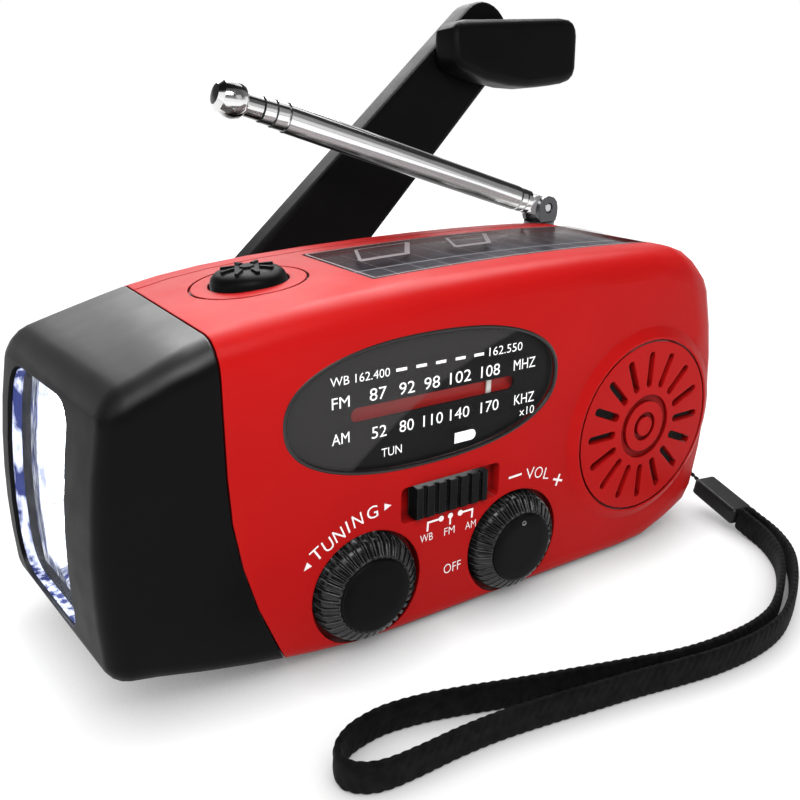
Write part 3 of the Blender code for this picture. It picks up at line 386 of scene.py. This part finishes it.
def backdrop():
    """World: white low down and behind the radio, grey above and on the other side."""
    world = bpy.data.worlds.new("studio")
    scene.world = world
    world.use_nodes = True
    tree = world.node_tree
    back = tree.nodes["Background"]
    place = tree.nodes.new("ShaderNodeTexCoord")
    split = tree.nodes.new("ShaderNodeSeparateXYZ")
    ramp = tree.nodes.new("ShaderNodeValToRGB")
    tree.links.new(place.outputs["Generated"], split.inputs[0])
    tree.links.new(split.outputs[2], ramp.inputs[0])
    tree.links.new(ramp.outputs[0], back.inputs["Color"])
    stops = ramp.color_ramp.elements
    stops[0].position, stops[0].color = 0.0, (1, 1, 1, 1)
    stops[1].position, stops[1].color = 1.0, (0.22, 0.22, 0.23, 1)
    for position, grey in ((0.12, 1.0), (0.20, 0.16), (0.6, 0.12)):
        stops.new(position).color = (grey, grey, grey, 1)

    behind = tree.nodes.new("ShaderNodeVectorMath")
    behind.operation = "DOT_PRODUCT"
    behind.inputs[1].default_value = (0.55, 0.83, 0.0)
    gate = tree.nodes.new("ShaderNodeMapRange")
    gate.inputs["From Min"].default_value = 0.0
    gate.inputs["From Max"].default_value = 0.35
    gate.inputs["To Min"].default_value = 0.16
    tree.links.new(place.outputs["Generated"], behind.inputs[0])
    tree.links.new(behind.outputs["Value"], gate.inputs["Value"])
    tree.links.new(gate.outputs[0], back.inputs["Strength"])


def white_floor():
    """Pale floor that glows white, with a painted contact shadow: the glow dims where ambient occlusion finds
    pieces close above it.
    """
    s = Surface("floor_white")
    away = s.node("VectorMath", operation="LENGTH")
    s.link(s.place, away.inputs[0])
    # painted contact shadow: ambient occlusion dims the floor's glow under the pieces
    painted_contact_shadow = s.node("AmbientOcclusion", samples=8)
    painted_contact_shadow.inputs["Distance"].default_value = 0.010
    glow = s.math("MULTIPLY", s.stretch(away.outputs["Value"], 0.12, 0.6, 0.97, 1.0),
                  s.math("POWER", painted_contact_shadow.outputs["AO"], 0.9))
    s.set(colour=(0.16, 0.16, 0.16), rough=0.9, spec=0.0, glow=(1.0, 1.0, 1.0), glow_strength=glow)
    bm = bmesh.new()
    bmesh.ops.create_circle(bm, cap_ends=True, segments=64, radius=6.0)
    mesh = mesh_of(bm, "floor")
    mesh.materials.append(s.mat)
    ground = bpy.data.objects.new("floor", mesh)
    scene.collection.objects.link(ground)


def studio():
    scene.view_settings.view_transform = "Standard"
    backdrop()
    white_floor()
    softbox("top_light", (0.26, 0.26, 0.62), (0.0, 0.0, 0.03), (0.50, 0.36), 5.5)
    softbox("front_light", (-0.42, -0.45, 0.55), (0.0, 0.0, 0.03), (0.5, 0.35), 1.5)
    softbox("near_light", (-0.045, -0.115, 0.160), (-0.015, -0.0225, 0.055), (0.10, 0.05), 0.14)
    softbox("back_light", (0.35, 1.0, 0.75), (0.0, 0.0, 0.05), (0.9, 0.5), 9.0)
    softbox("right_light", (0.50, -0.80, 0.28), (0.0, 0.0, 0.05), (0.45, 0.30), 0.25)
    softbox("left_light", (-0.65, -0.12, 0.25), (-0.02, 0.0, 0.03), (0.3, 0.4), 0.5)


# --- print -------------------------------------------------------------------------------
THIN, THINNER = -0.003, -0.008    # outline offsets that make a letter's strokes finer


def words(bm, text, x, z, height, width, y, turn=0.0, weight=0.0):
    """Text facing -Y, fitted to a height and width in millimetres, centred on (x, z)."""
    curve = bpy.data.curves.new("words", "FONT")
    curve.body, curve.offset, curve.resolution_u = text, weight, 3
    obj = bpy.data.objects.new("words", curve)
    scene.collection.objects.link(obj)
    bpy.context.view_layer.update()
    mesh = bpy.data.meshes.new_from_object(obj.evaluated_get(bpy.context.evaluated_depsgraph_get()))
    xs = [v.co.x for v in mesh.vertices]
    ys = [v.co.y for v in mesh.vertices]
    x0, x1, y0, y1 = min(xs), max(xs), min(ys), max(ys)
    sx, sy = width * MM / (x1 - x0), height * MM / (y1 - y0)
    stand = Matrix(((1, 0, 0, 0), (0, 0, -1, 0), (0, 1, 0, 0), (0, 0, 0, 1)))
    mesh.transform(Matrix.Translation((x * MM, y, z * MM)) @ Matrix.Rotation(-turn, 4, "Y") @ stand
                   @ Matrix.Diagonal((sx, sy, 1, 1))
                   @ Matrix.Translation((-(x0 + x1) / 2, -(y0 + y1) / 2, 0)))
    bm.from_mesh(mesh)
    bpy.data.objects.remove(obj)
    bpy.data.curves.remove(curve)
    bpy.data.meshes.remove(mesh)


def patch(bm, points, y):
    """Flat printed shape from (x, z) points in millimetres."""
    bm.faces.new([bm.verts.new((px * MM, y, pz * MM)) for px, pz in points])


def bar(x0, z0, x1, z1, thick):
    """Corners of a straight printed stroke."""
    run = Vector((x1 - x0, z1 - z0))
    side = Vector((-run.y, run.x)).normalized() * thick / 2
    a, b = Vector((x0, z0)), Vector((x1, z1))
    return [a - side, b - side, b + side, a + side]


def disc(x, z, r):
    return [(x + r * math.cos(a), z + r * math.sin(a)) for a in turns(16)]


def dial_print():
    """Two tuning scales with their units, the weather band above them and a small lamp mark below."""
    y = WINDOW_Y - 0.00003
    bm = bmesh.new()
    words(bm, "WB 162.400", -22.35, 46.18, 1.32, 9.9, y, weight=THIN)
    for x in (-15.37, -11.81, -8.24, -4.56, -0.96):
        patch(bm, bar(x - 0.95, 46.22, x + 0.95, 46.22, 0.48), y)
    words(bm, "162.550", 4.47, 46.32, 1.42, 6.8, y, weight=THIN)
    words(bm, "FM", -25.66, 42.95, 1.70, 2.9, y)
    words(bm, "MHZ", 8.58, 43.24, 1.75, 4.6, y)
    for text, x, width in (("87", -19.42, 2.9), ("92", -14.36, 2.8), ("98", -9.82, 2.9),
                           ("102", -4.43, 4.1), ("108", 1.50, 3.8)):
        words(bm, text, x, 43.2, 1.92, width, y)
    words(bm, "AM", -25.75, 37.47, 1.70, 2.9, y)
    words(bm, "KHZ", 8.96, 37.2, 1.75, 4.3, y)
    words(bm, "x10", 9.69, 34.9, 1.45, 3.2, y, weight=THIN)
    for text, x, width in (("52", -19.23, 2.6), ("80", -14.35, 2.6), ("110", -9.46, 3.7),
                           ("140", -4.36, 3.8), ("170", 1.65, 3.7)):
        words(bm, text, x, 37.2, 1.88, width, y)
    words(bm, "TUN", -17.01, 33.61, 1.40, 3.6, y, weight=THIN)
    left, right, middle, half = -5.2, -1.9, 33.05, 0.9
    round_end = [(right + half * math.cos(a), middle + half * math.sin(a))
                 for a in (math.pi * (i / 8 - 0.5) for i in range(1, 8))]
    patch(bm, [(left, middle - half), (right, middle - half)] + round_end
          + [(right, middle + half), (left, middle + half)], y)
    # the dial's ink glows, painted light
    piece("dial_print", mesh_of(bm, "dial_print"), "case",
          ink("dial_ink", (0.93, 0.93, 0.93), 0.45), smooth=False)


def case_print():
    """Names of the two knobs along their arcs, and the three bands under the slider."""
    y = FRONT_Y - 0.00006
    over, top = y - 0.00001, y - 0.00002    # strokes that cross others lie a little in front of them
    bm = bmesh.new()
    for text, x, z, width, turn in (("T", -30.13, 20.04, 1.85, 32), ("U", -28.22, 21.04, 1.7, 27),
                                    ("N", -26.37, 22.17, 1.75, 22), ("I", -24.84, 23.0, 0.30, 18),
                                    ("N", -23.11, 23.7, 1.75, 14), ("G", -20.5, 24.28, 1.95, 6)):
        words(bm, text, x, z, 2.15, width, y, math.radians(turn))
    for x, z, turn, way in ((-31.84, 18.3, 42, -1), (-17.75, 24.6, 0, 1)):
        c, s = math.cos(math.radians(turn)), math.sin(math.radians(turn))
        arrow = ((-0.6, -0.6), (0.7, 0.0), (-0.6, 0.6))
        patch(bm, [(x + c * u * way - s * v, z + s * u * way + c * v) for u, v in arrow], y)
    patch(bm, bar(6.5, 23.30, 9.35, 23.42, 0.40), y)
    for text, x, z, width, turn in (("V", 11.3, 23.05, 1.85, -2), ("O", 13.3, 22.75, 1.85, -9),
                                    ("L", 15.25, 22.1, 1.3, -14)):
        words(bm, text, x, z, 2.1, width, y, math.radians(turn), weight=THINNER)
    patch(bm, bar(16.9, 20.55, 19.1, 19.75, 0.42), y)
    patch(bm, bar(17.62, 19.1, 18.4, 21.2, 0.42), over)
    words(bm, "OFF", -4.86, 9.8, 1.75, 3.5, y, weight=THINNER)
    words(bm, "WB", -10.29, 16.93, 1.35, 2.5, y, weight=THINNER)
    words(bm, "FM", -5.70, 16.91, 1.35, 2.1, y, weight=THINNER)
    words(bm, "AM", -1.33, 16.78, 1.35, 2.2, y, weight=THINNER)
    patch(bm, bar(-10.15, 18.0, -10.05, 19.75, 0.36), y)
    patch(bm, bar(-10.2, 19.57, -7.6, 19.57, 0.36), over)
    patch(bm, disc(-7.45, 19.57, 0.52), top)
    patch(bm, bar(-5.63, 18.0, -5.60, 19.6, 0.32), y)
    patch(bm, disc(-5.60, 19.6, 0.50), over)
    patch(bm, bar(-1.15, 18.0, -1.05, 19.75, 0.36), y)
    patch(bm, bar(-3.5, 19.57, -0.95, 19.57, 0.36), over)
    patch(bm, disc(-3.59, 19.57, 0.52), top)
    # the case's ink glows, painted light
    piece("case_print", mesh_of(bm, "case_print"), "case",
          ink("case_ink", (0.90, 0.80, 0.80), 0.35), smooth=False)


# --- dial --------------------------------------------------------------------------------
def smoked_window_painted_reflection():
    """Smoked window with a painted reflection: paler above a slanting, slightly bowed line, darker below it.
    """
    s = Surface("dial_window_clear")
    x, _, z = s.xyz()
    along = s.math("ADD", x, 0.0119)
    slant = s.math("MULTIPLY", along, -0.62)
    bow = s.math("MULTIPLY", s.math("POWER", s.math("ABSOLUTE", along), 2.0), 9.0)
    above = s.math("ADD", s.math("SUBTRACT", z, 0.0405), s.math("ADD", slant, bow))
    # painted reflection over the upper part of the window
    painted_reflection = s.stretch(above, -0.00005, 0.00005)
    haze = s.stretch(s.noise(0.01, 3), 0.3, 0.7, 0.012, 0.02)
    s.set(colour=(0.20, 0.19, 0.19), rough=0.12, spec=0.03,
          alpha=s.math("ADD", s.math("MULTIPLY", painted_reflection, 0.10), haze))
    return s.mat


def gasket():
    """Thin dark gasket in the gap round the window, which is a superellipse; its dark line also stands in for
    the shade along the case's edge there.
    """
    half_w, half_h = DIAL_HALF
    squareness = 2 / 2.3
    thick_out, thick_y = 0.00036, 0.00030
    rings = []
    for a in turns(120):
        c, s = superellipse(math.cos(a), math.sin(a), squareness, squareness)
        px, pz = c * half_w, s * half_h
        out = Vector((px / half_w ** 2, 0, pz / half_h ** 2)).normalized()
        middle = Vector((DIAL[0] + px, FRONT_Y + 0.0002, DIAL[1] + pz))
        rings.append([middle + out * thick_out * math.cos(b) + Vector((0, thick_y * math.sin(b), 0))
                      for b in turns(8)])
    bm = bmesh.new()
    sweep(bm, rings, closed=True)
    # dark ring that also stands in for the shade line round the window
    piece("dial_gasket", mesh_of(bm, "dial_gasket"), "case",
          plastic("gasket_black", (0.010, 0.008, 0.008), 0.30, spec=0.5))


def dial():
    paint("dial_window", smoked_window_painted_reflection())
    paint("dial_plate", plastic("dial_plate_black", (0.004, 0.004, 0.0045), 0.35,
                                spec=0.08, grain=0.0004, depth=0.000002))
    paint("dial_strip", plastic("dial_strip_red", (0.55, 0.015, 0.012), 0.45, spec=0.3, vary=0.05))
    paint("dial_pointer", plastic("pointer_white", (0.85, 0.83, 0.78), 0.5, vary=0.03))
    gasket()


# --- knobs -------------------------------------------------------------------------------
RIDGES, RIDGE_STEPS = 36, 8
RIDGE_DEPTH = 0.42                    # mm
KNOB_FOOT_Y = FRONT_Y + 0.0016        # the knob's outline starts from here, sunk in its well
# outline from the foot to the middle of the cap: radius and height in mm, share of the ridges' relief
KNOB_OUTLINE = ((9.05, -0.1, 0.0), (9.15, 0.35, 1.0), (9.05, 1.0, 1.0), (8.85, 1.8, 1.0), (8.62, 2.35, 1.0),
                (8.40, 2.62, 1.0), (8.05, 2.95, 1.0), (7.4, 3.42, 1.0), (6.9, 3.76, 1.0), (6.62, 3.93, 0.9),
                (6.42, 3.98, 0.4), (6.28, 3.90, 0.0), (6.22, 3.72, 0.0), (6.16, 3.72, 0.0), (6.12, 4.20, 0.0),
                (6.02, 4.34, 0.0), (5.85, 4.40, 0.0), (4.0, 4.37, 0.0), (2.0, 4.35, 0.0), (0.6, 4.35, 0.0))
SPOT_OUTLINE = ((0.28, 4.36), (0.34, 4.42), (0.42, 4.44), (0.46, 4.38))
SPOT_UP = 0.0047                      # from the knob's centre to its spot


def knob_finish(name, centre):
    """Black plastic with a matt cap and polished ridges round it, whose edges carry painted pale highlights.
    """
    s = Surface(name)
    x, _, z = s.xyz()
    out = s.math("SQRT", s.math("ADD", s.math("POWER", s.math("SUBTRACT", x, centre[0]), 2.0),
                                s.math("POWER", s.math("SUBTRACT", z, centre[1]), 2.0)))
    ribs = s.stretch(out, 0.0061, 0.0063)
    mask, normal = s.edges(0.00025)
    body = s.mix(s.stretch(s.noise(0.006, 4), 0.3, 0.7), shade(BLACK, 0.85), shade(BLACK, 1.15))
    # painted highlights: the ridges' edges paled towards grey in the colour
    edge_highlight = s.math("MULTIPLY", mask, s.stretch(s.noise(0.003, 3), 0.35, 0.6, 0.3, 1.0), clamp=True)
    rib_highlight = s.math("MULTIPLY", edge_highlight, s.stretch(ribs, 0.0, 1.0, 0.15, 0.8))
    s.set(colour=s.mix(rib_highlight, body, (0.16, 0.16, 0.16)),
          rough=s.stretch(ribs, 0.0, 1.0, 0.42, 0.22), spec=s.stretch(ribs, 0.0, 1.0, 0.06, 0.35))
    s.relief(s.noise(0.0005, 2), 0.000005, normal)
    return s.mat


def knob(name, node, body, centre, marked):
    """Thumb knob with ridges that fold over its chamfer, and a flat cap set in a thin groove."""
    cx, cz = centre
    rings = []
    for r, h, share in KNOB_OUTLINE:
        ring = []
        for i, a in enumerate(turns(RIDGES * RIDGE_STEPS)):
            phase = (i % RIDGE_STEPS) / RIDGE_STEPS      # a valley is centred on phase 0
            dip = RIDGE_DEPTH * share * max(0.0, math.cos(2 * math.pi * phase)) ** 0.7
            rr = (r - dip * 0.7) * MM
            hh = (h - dip * 0.75 * min(1.0, h / 2.6)) * MM
            ring.append(Vector((cx + rr * math.cos(a), KNOB_FOOT_Y - hh, cz + rr * math.sin(a))))
        rings.append(ring)
    bm = bmesh.new()
    sweep(bm, rings)
    obj = piece(name, mesh_of(bm, name), body, knob_finish(body + "_black", centre))
    modify(obj, "EDGE_SPLIT", split_angle=math.radians(50))
    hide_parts(node)
    if marked:
        up = cz + SPOT_UP
        rings = [[Vector((cx + r * MM * math.cos(a), KNOB_FOOT_Y - h * MM, up + r * MM * math.sin(a)))
                  for a in turns(16)] for r, h in SPOT_OUTLINE]
        bm = bmesh.new()
        sweep(bm, rings)
        piece(name + "_spot", mesh_of(bm, name + "_spot"), body, ink("spot_ink", (0.30, 0.30, 0.30)))


# --- strap -------------------------------------------------------------------------------
CLIP_FROM = Vector((0.0661, -0.0180, 0.0055))
CLIP_TO = Vector((0.0639, -0.0300, 0.0034))
CLIP_AXIS = (CLIP_TO - CLIP_FROM).normalized()
STRAP_Z = 0.0025            # height of the band's middle, which lies on its edge
STRAP_PITCH = 0.0021        # between the two runs of the band where they lie side by side
STRAP_STEP = 0.00030
STRAP_HALF_W = 0.00245
STRAP_HALF_T = 0.00062
PLAIT = 0.00150             # length of one plait
PLAIT_LIFT = 0.00016
THREAD_STEP = 0.12          # mm
THREAD_LAY = 1.1            # mm of thread for half a turn of its plies


def beside(points, shift):
    """A route beside another one, shifted to its left seen from above."""
    out = []
    for i, p in enumerate(points):
        ahead = heading(points, i)
        out.append(p + Vector((-ahead.y, ahead.x, 0)).normalized() * shift)
    return out


def strap_route():
    """Out of the clip, round the loop and back beside itself."""
    pair = [CLIP_TO + CLIP_AXIS * 0.0003, CLIP_TO + CLIP_AXIS * 0.0030]
    pair += [Vector((x, y, STRAP_Z)) for x, y in (
        (0.0624, -0.0367), (0.0604, -0.0402), (0.0577, -0.0436), (0.0543, -0.0466), (0.0494, -0.0499),
        (0.0433, -0.0532), (0.0370, -0.0556), (0.0300, -0.0565), (0.0220, -0.0561), (0.0150, -0.0549))]
    loop = [Vector((x, y, STRAP_Z)) for x, y in (
        (0.0064, -0.0541), (-0.0005, -0.0528), (-0.0090, -0.0512), (-0.0166, -0.0500), (-0.0232, -0.0495),
        (-0.0297, -0.0494), (-0.0342, -0.0491), (-0.0370, -0.0482), (-0.0388, -0.0466), (-0.0392, -0.0449),
        (-0.0383, -0.0430), (-0.0362, -0.0415), (-0.0336, -0.0407), (-0.0295, -0.0404), (-0.0241, -0.0413),
        (-0.0183, -0.0430), (-0.0126, -0.0450), (-0.0067, -0.0470), (-0.0005, -0.0490), (0.0070, -0.0514))]
    return beside(pair, STRAP_PITCH / 2) + loop + beside(pair, -STRAP_PITCH / 2)[::-1]


def braid(route):
    """Flat band with two rows of slanting plaits that meet in the middle, and a scalloped edge."""
    rings = []
    for i, p in enumerate(route):
        ahead = heading(route, i).normalized()
        side = Vector((ahead.y, -ahead.x, 0)).normalized()
        up = side.cross(ahead)
        plaits = i * STRAP_STEP / PLAIT
        ring = []
        for a in turns(32):
            u, v = superellipse(math.cos(a), math.sin(a), 0.62, 0.75)
            row = 0.5 if v < 0 else 0.0      # one row is half a plait ahead of the other
            plait = abs(math.sin(math.pi * (plaits + abs(v) * 0.95 + row)))
            seam = min(1.0, abs(v) / 0.16)
            lift = PLAIT_LIFT * (plait ** 0.7 - 0.6) * (0.35 + 0.65 * seam)
            scallop = abs(math.sin(math.pi * (plaits + 0.95 + row)))
            edge = PLAIT_LIFT * (scallop - 0.7) * abs(v) ** 6
            ring.append(p + side * (u * (STRAP_HALF_T + lift)) + up * (v * (STRAP_HALF_W + edge)))
        rings.append(ring)
    bm = bmesh.new()
    sweep(bm, rings)
    return mesh_of(bm, "strap_band")


def braid_finish():
    s = Surface("strap_braid")
    fibres = s.noise(0.00022, 3, scale=(1, 1, 2.5))
    drift = s.stretch(s.noise(0.0016, 3), 0.3, 0.7)
    s.set(colour=s.mix(drift, (0.0025, 0.0025, 0.003), (0.009, 0.009, 0.010)),
          rough=s.stretch(fibres, 0.3, 0.7, 0.62, 0.85), spec=0.06, sheen=0.02, sheen_rough=0.5)
    s.relief(fibres, 0.00006)
    return s.mat


def two_ply():
    """Twisted thread from the bar in the case to the clip."""
    line = through([(0.0618, -0.0060, 0.0140), (0.0635, -0.0066, 0.0136), (0.0652, -0.0086, 0.0121),
                    (0.0661, -0.0116, 0.0095), (0.0658, -0.0150, 0.0070), CLIP_FROM - CLIP_AXIS * 0.0002],
                   THREAD_STEP * MM)
    bm = bmesh.new()
    for ply in (0, math.pi):
        rings = []
        for i, p in enumerate(line):
            ahead = heading(line, i).normalized()
            side = ahead.cross(Vector((0, 0, 1))).normalized()
            up = side.cross(ahead)
            a = ply + i * THREAD_STEP / THREAD_LAY * math.pi
            middle = p + (side * math.cos(a) + up * math.sin(a)) * 0.00020
            rings.append([middle + (side * math.cos(b) + up * math.sin(b)) * 0.00023 for b in turns(8)])
        sweep(bm, rings)
    return mesh_of(bm, "strap_cord_ply")


def strap():
    route = through(strap_route(), STRAP_STEP)
    band = piece("strap_band", braid(route), "case", braid_finish())
    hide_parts("wrist_strap")
    thread = piece("strap_cord_ply", two_ply(), "case",
                   plastic("thread_black", (0.012, 0.012, 0.013), 0.75, grain=0.0002, depth=0.00002))
    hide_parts("strap_thread")


# --- solar top ---------------------------------------------------------------------------
CELL_WIDTH, CELL_START = 0.0052, -0.0125
FINGER_GAP = 0.0016                    # between the fine lines across the cells
BUS_Y = -0.0036                        # the line that joins the cells
RIM_X = (-0.0142, 0.0472)              # pale rim just inside the window's edge
RIM_Y = (-0.0130, 0.0098)
TABS = ((-0.0098, -0.0006), (0.0098, 0.0172))      # from and to in x, at their front edge


def window_veil():
    """Clear window that turns paler and less clear towards its back."""
    s = Surface("solar_window_clear")
    _, y, _ = s.xyz()
    veil = s.stretch(y, -0.006, 0.006, 0.03, 0.34)
    s.set(colour=(0.17, 0.12, 0.125), rough=0.10, spec=0.08,
          alpha=s.math("MULTIPLY", veil, s.stretch(s.noise(0.012, 3), 0.3, 0.7, 0.85, 1.15)))
    return s.mat


def cell_grid():
    """Dark crystal with lines between the cells, one bus line and fine fingers."""
    s = Surface("solar_cells_dark")
    x, y, _ = s.xyz()

    def from_middle(value, pitch):
        """How far a place is from the middle of its own step, from 0 to a half."""
        return s.math("ABSOLUTE", s.math("SUBTRACT", s.math("FRACT", s.math("DIVIDE", value, pitch)), 0.5))

    between = s.stretch(from_middle(s.math("SUBTRACT", x, CELL_START), CELL_WIDTH), 0.470, 0.482)
    bus = s.stretch(s.math("ABSOLUTE", s.math("SUBTRACT", y, BUS_Y)), 0.00028, 0.00018)
    fingers = s.math("MULTIPLY", s.stretch(from_middle(y, FINGER_GAP), 0.44, 0.48), 0.18)
    lines = s.math("MAXIMUM", s.math("MAXIMUM", s.math("MULTIPLY", between, 0.7), bus), fingers)
    crystal = s.mix(s.stretch(s.noise(0.004, 4), 0.35, 0.65), (0.008, 0.008, 0.014), (0.022, 0.022, 0.034))
    s.set(colour=s.mix(lines, crystal, (0.26, 0.26, 0.28)), rough=0.35, spec=0.10)
    s.relief(lines, 0.00004)
    return s.mat


def on_window(x, y):
    """Height just above the arched solar window at a place."""
    window = NODES["solar_window"]
    hit, spot, _, _ = window.ray_cast(window.matrix_world.inverted() @ Vector((x, y, 0.09)), (0, 0, -1))
    return (window.matrix_world @ spot).z + 0.00004 if hit else 0.0585


def strip(bm, points, width):
    """Narrow ribbon on the window through (x, y) corners."""
    for start, end in zip(points, points[1:]):
        a, b = Vector(start), Vector(end)
        count = max(1, round((b - a).length / 0.004))
        run = (b - a).normalized()
        side = Vector((-run.y, run.x)) * width / 2
        rows = []
        for i in range(count + 1):
            p = a.lerp(b, i / count)
            rows.append([bm.verts.new((q.x, q.y, on_window(p.x, p.y))) for q in (p - side, p + side)])
        for r0, r1 in zip(rows, rows[1:]):
            bm.faces.new((r0[0], r0[1], r1[1], r1[0]))


def solar():
    paint("solar_window", window_veil())
    paint("solar_cells", cell_grid())
    (x0, x1), (y0, y1) = RIM_X, RIM_Y
    bm = bmesh.new()
    strip(bm, [(x0, y0), (x1, y0), (x1, y1), (x0, y1), (x0, y0)], 0.00025)
    piece("solar_rim", mesh_of(bm, "solar_rim"), "case",
          ink("rim_ink", (0.45, 0.36, 0.36)), smooth=False)
    bm = bmesh.new()
    for left, right in TABS:
        strip(bm, [(left, -0.0014), (left + 0.0040, 0.0070)], 0.0006)
        strip(bm, [(left, -0.0010), (right, -0.0010)], 0.0015)
        strip(bm, [(right, -0.0014), (right + 0.0060, 0.0076)], 0.0009)
        strip(bm, [(left + 0.0040, 0.0072), (right + 0.0060, 0.0074)], 0.0003)
    piece("solar_tabs", mesh_of(bm, "solar_tabs"), "case",
          ink("tab_ink", (0.23, 0.20, 0.21)), smooth=False)


# --- lamp --------------------------------------------------------------------------------
def reflector_chrome():
    """Bright bowls with a painted glow, whose far side and foot are painted in a dark blue shade with pale
    streaks of painted reflection.
    """
    s = Surface("reflector_chrome")
    _, y, z = s.xyz()
    mottle = s.noise(0.004, 3)
    streak = s.stretch(s.noise(0.0016, 3, scale=(1, 3, 0.4)), 0.42, 0.62)
    rim = s.math("MAXIMUM", s.stretch(y, 0.0115, 0.0125), s.stretch(z, 0.0135, 0.0120))
    painted_shade = s.math("MULTIPLY", rim, s.math("SUBTRACT", 1.0, streak))
    s.set(colour=s.mix(painted_shade, (0.88, 0.90, 1.0), (0.05, 0.07, 0.28)), rough=0.10, metal=1.0,
          glow=s.mix(painted_shade, (0.86, 0.91, 1.0), (0.04, 0.06, 0.25)),
          # painted light: the reflector glows, less so in its painted shade
          glow_strength=s.math("MULTIPLY", s.stretch(mottle, 0.35, 0.65, 0.7, 2.2),
                               s.stretch(rim, 0.0, 1.0, 1.0, 0.45)))
    s.relief(s.noise(0.0012, 2), 0.00008)
    return s.mat


def led_white():
    s = Surface("led_white")
    s.set(colour=(0.9, 0.9, 0.88), rough=0.3, glow=(0.92, 0.96, 1.0),
          glow_strength=s.stretch(s.noise(0.0015, 2), 0.3, 0.7, 8.0, 14.0))
    return s.mat


def lens_clear():
    """Clear lens with a painted reflection round its rim: dark blue and pale streaks in its colour by which
    way it faces, with a glow there.
    """
    s = Surface("lens_clear")
    rim = s.stretch(s.math("ABSOLUTE", s.split(s.normal())[0]), 0.7, 0.5)
    streaks = s.stretch(s.noise(0.0018, 3, scale=(1, 1, 0.35)), 0.44, 0.60)
    painted_reflection_colour = s.mix(streaks, (0.02, 0.03, 0.14), (0.75, 0.80, 1.0))
    haze = s.stretch(s.noise(0.003, 3), 0.3, 0.7, 0.02, 0.06)
    # painted reflection and glow on the sides of the lens
    s.set(colour=s.mix(rim, (0.85, 0.90, 1.0), painted_reflection_colour), rough=0.06, spec=0.15, glow=painted_reflection_colour,
          glow_strength=s.math("MULTIPLY", rim, 0.8),
          alpha=s.math("MAXIMUM", s.math("MULTIPLY", rim, 0.9), haze))
    return s.mat


def lamp():
    paint("reflector", reflector_chrome())
    led = led_white()
    for i in (1, 2, 3):
        paint("led_%d" % i, led)
    paint("lamp_lens", lens_clear())


# --- the frame's own parts ---------------------------------------------------------------
def mouldings():
    red = plastic("case_red", RED, 0.42, vary=0.04, vary_size=0.02, grain=0.0007, depth=0.000003, wear_and_highlight=1.35,
                  spec=(0.06, 0.12), shade_hollows=True)
    for node in ("front_cover", "rear_cover", "battery_door"):
        paint(node, red, 25)
    for node in ("front_cover", "rear_cover"):      # kept out of the reflections in the bright pieces
        NODES[node].visible_glossy = False
    housing = plastic("housing_black", (0.0035, 0.0035, 0.0038), 0.44, vary=0.10, grain=0.0006,
                      depth=0.000005, wear_and_highlight=2.0, spec=(0.07, 0.85))
    paint("lamp_housing", housing, 28)
    black = plastic("moulded_black", BLACK, 0.42, vary=0.12, wear_and_highlight=2.4, spec=0.06)
    for node in ("lamp_button", "crank_hub", "crank_grip", "crank_arm"):
        paint(node, black, 35)
    # strong painted highlights along the slider's ridges
    paint("band_switch", plastic("slider_black", BLACK, 0.30, wear_and_highlight=10.0, spec=0.12))
    paint("strap_clip", plastic("clip_black", (0.008, 0.008, 0.0085), 0.33, wear_and_highlight=2.5, edge=0.0005, spec=0.2))
    nylon = plastic("nylon_pale", (0.62, 0.60, 0.54), 0.5, vary=0.04)
    for node in ("crank_gear", "tuning_capacitor"):
        paint(node, nylon)
    paint("battery", plastic("battery_wrap", (0.03, 0.08, 0.30), 0.35, vary=0.05))
    paint("port_cover", plastic("rubber_dark", (0.018, 0.018, 0.018), 0.7,
                                vary=0.1, grain=0.0004, depth=0.00001))


def metals():
    paint("antenna_turret", metal("turret_dark", (0.10, 0.10, 0.105), 0.25), 32)
    # painted reflection bands on the antenna's tubes with a faint glow; the ball at the tip gets the bands
    # without glow
    chrome = chrome_with_painted_reflection("chrome", 0.22)
    for node in ("antenna_foot", "antenna_tube_1", "antenna_tube_2", "antenna_tube_3"):
        paint(node, chrome, 32)
    paint("antenna_rod", chrome_with_painted_reflection("ball_chrome", 0.0), 32)
    steel = metal("steel_plated", (0.62, 0.62, 0.63), 0.28)
    for node in ("antenna_pin", "crank_hinge_pin", "grip_pin", "crank_shaft", "speaker_basket",
                 "speaker_magnet", "gear_plate", "dynamo_can", "dynamo_rotor", "usb_port", "charge_port",
                 "strap_bar", "volume_control", "switch_body", "button_switch"):
        paint(node, steel)
    paint("crank_bush", metal("brass_bush", (0.72, 0.52, 0.22), 0.30))


def boards_and_speaker():
    board = plastic("board_green", (0.015, 0.10, 0.035), 0.4, vary=0.12, vary_size=0.004)
    for node in ("main_board", "led_board"):
        paint(node, board)
    s = Surface("speaker_weave")
    x, _, z = s.xyz()
    threads = 9000.0
    weave = s.math("MULTIPLY", s.math("SINE", s.math("MULTIPLY", x, threads)),
                   s.math("SINE", s.math("MULTIPLY", z, threads)))
    s.set(colour=s.mix(s.stretch(weave, -1.0, 1.0), (0.006, 0.004, 0.004), (0.020, 0.014, 0.014)),
          rough=0.85, spec=0.2)
    s.relief(weave, 0.00008)
    paint("speaker_cloth", s.mat)
    paint("speaker_cone", plastic("cone_paper", (0.03, 0.03, 0.03), 0.8,
                                  vary=0.15, grain=0.0008, depth=0.00002))


camera()
strap()
studio()
mouldings()
metals()
boards_and_speaker()
dial()
solar()
lamp()
knob("tuning_thumb_knob", "tuning_knob", "tuning", TUNING, marked=False)
knob("volume_thumb_knob", "volume_knob", "volume", VOLUME, marked=True)
dial_print()
case_print()
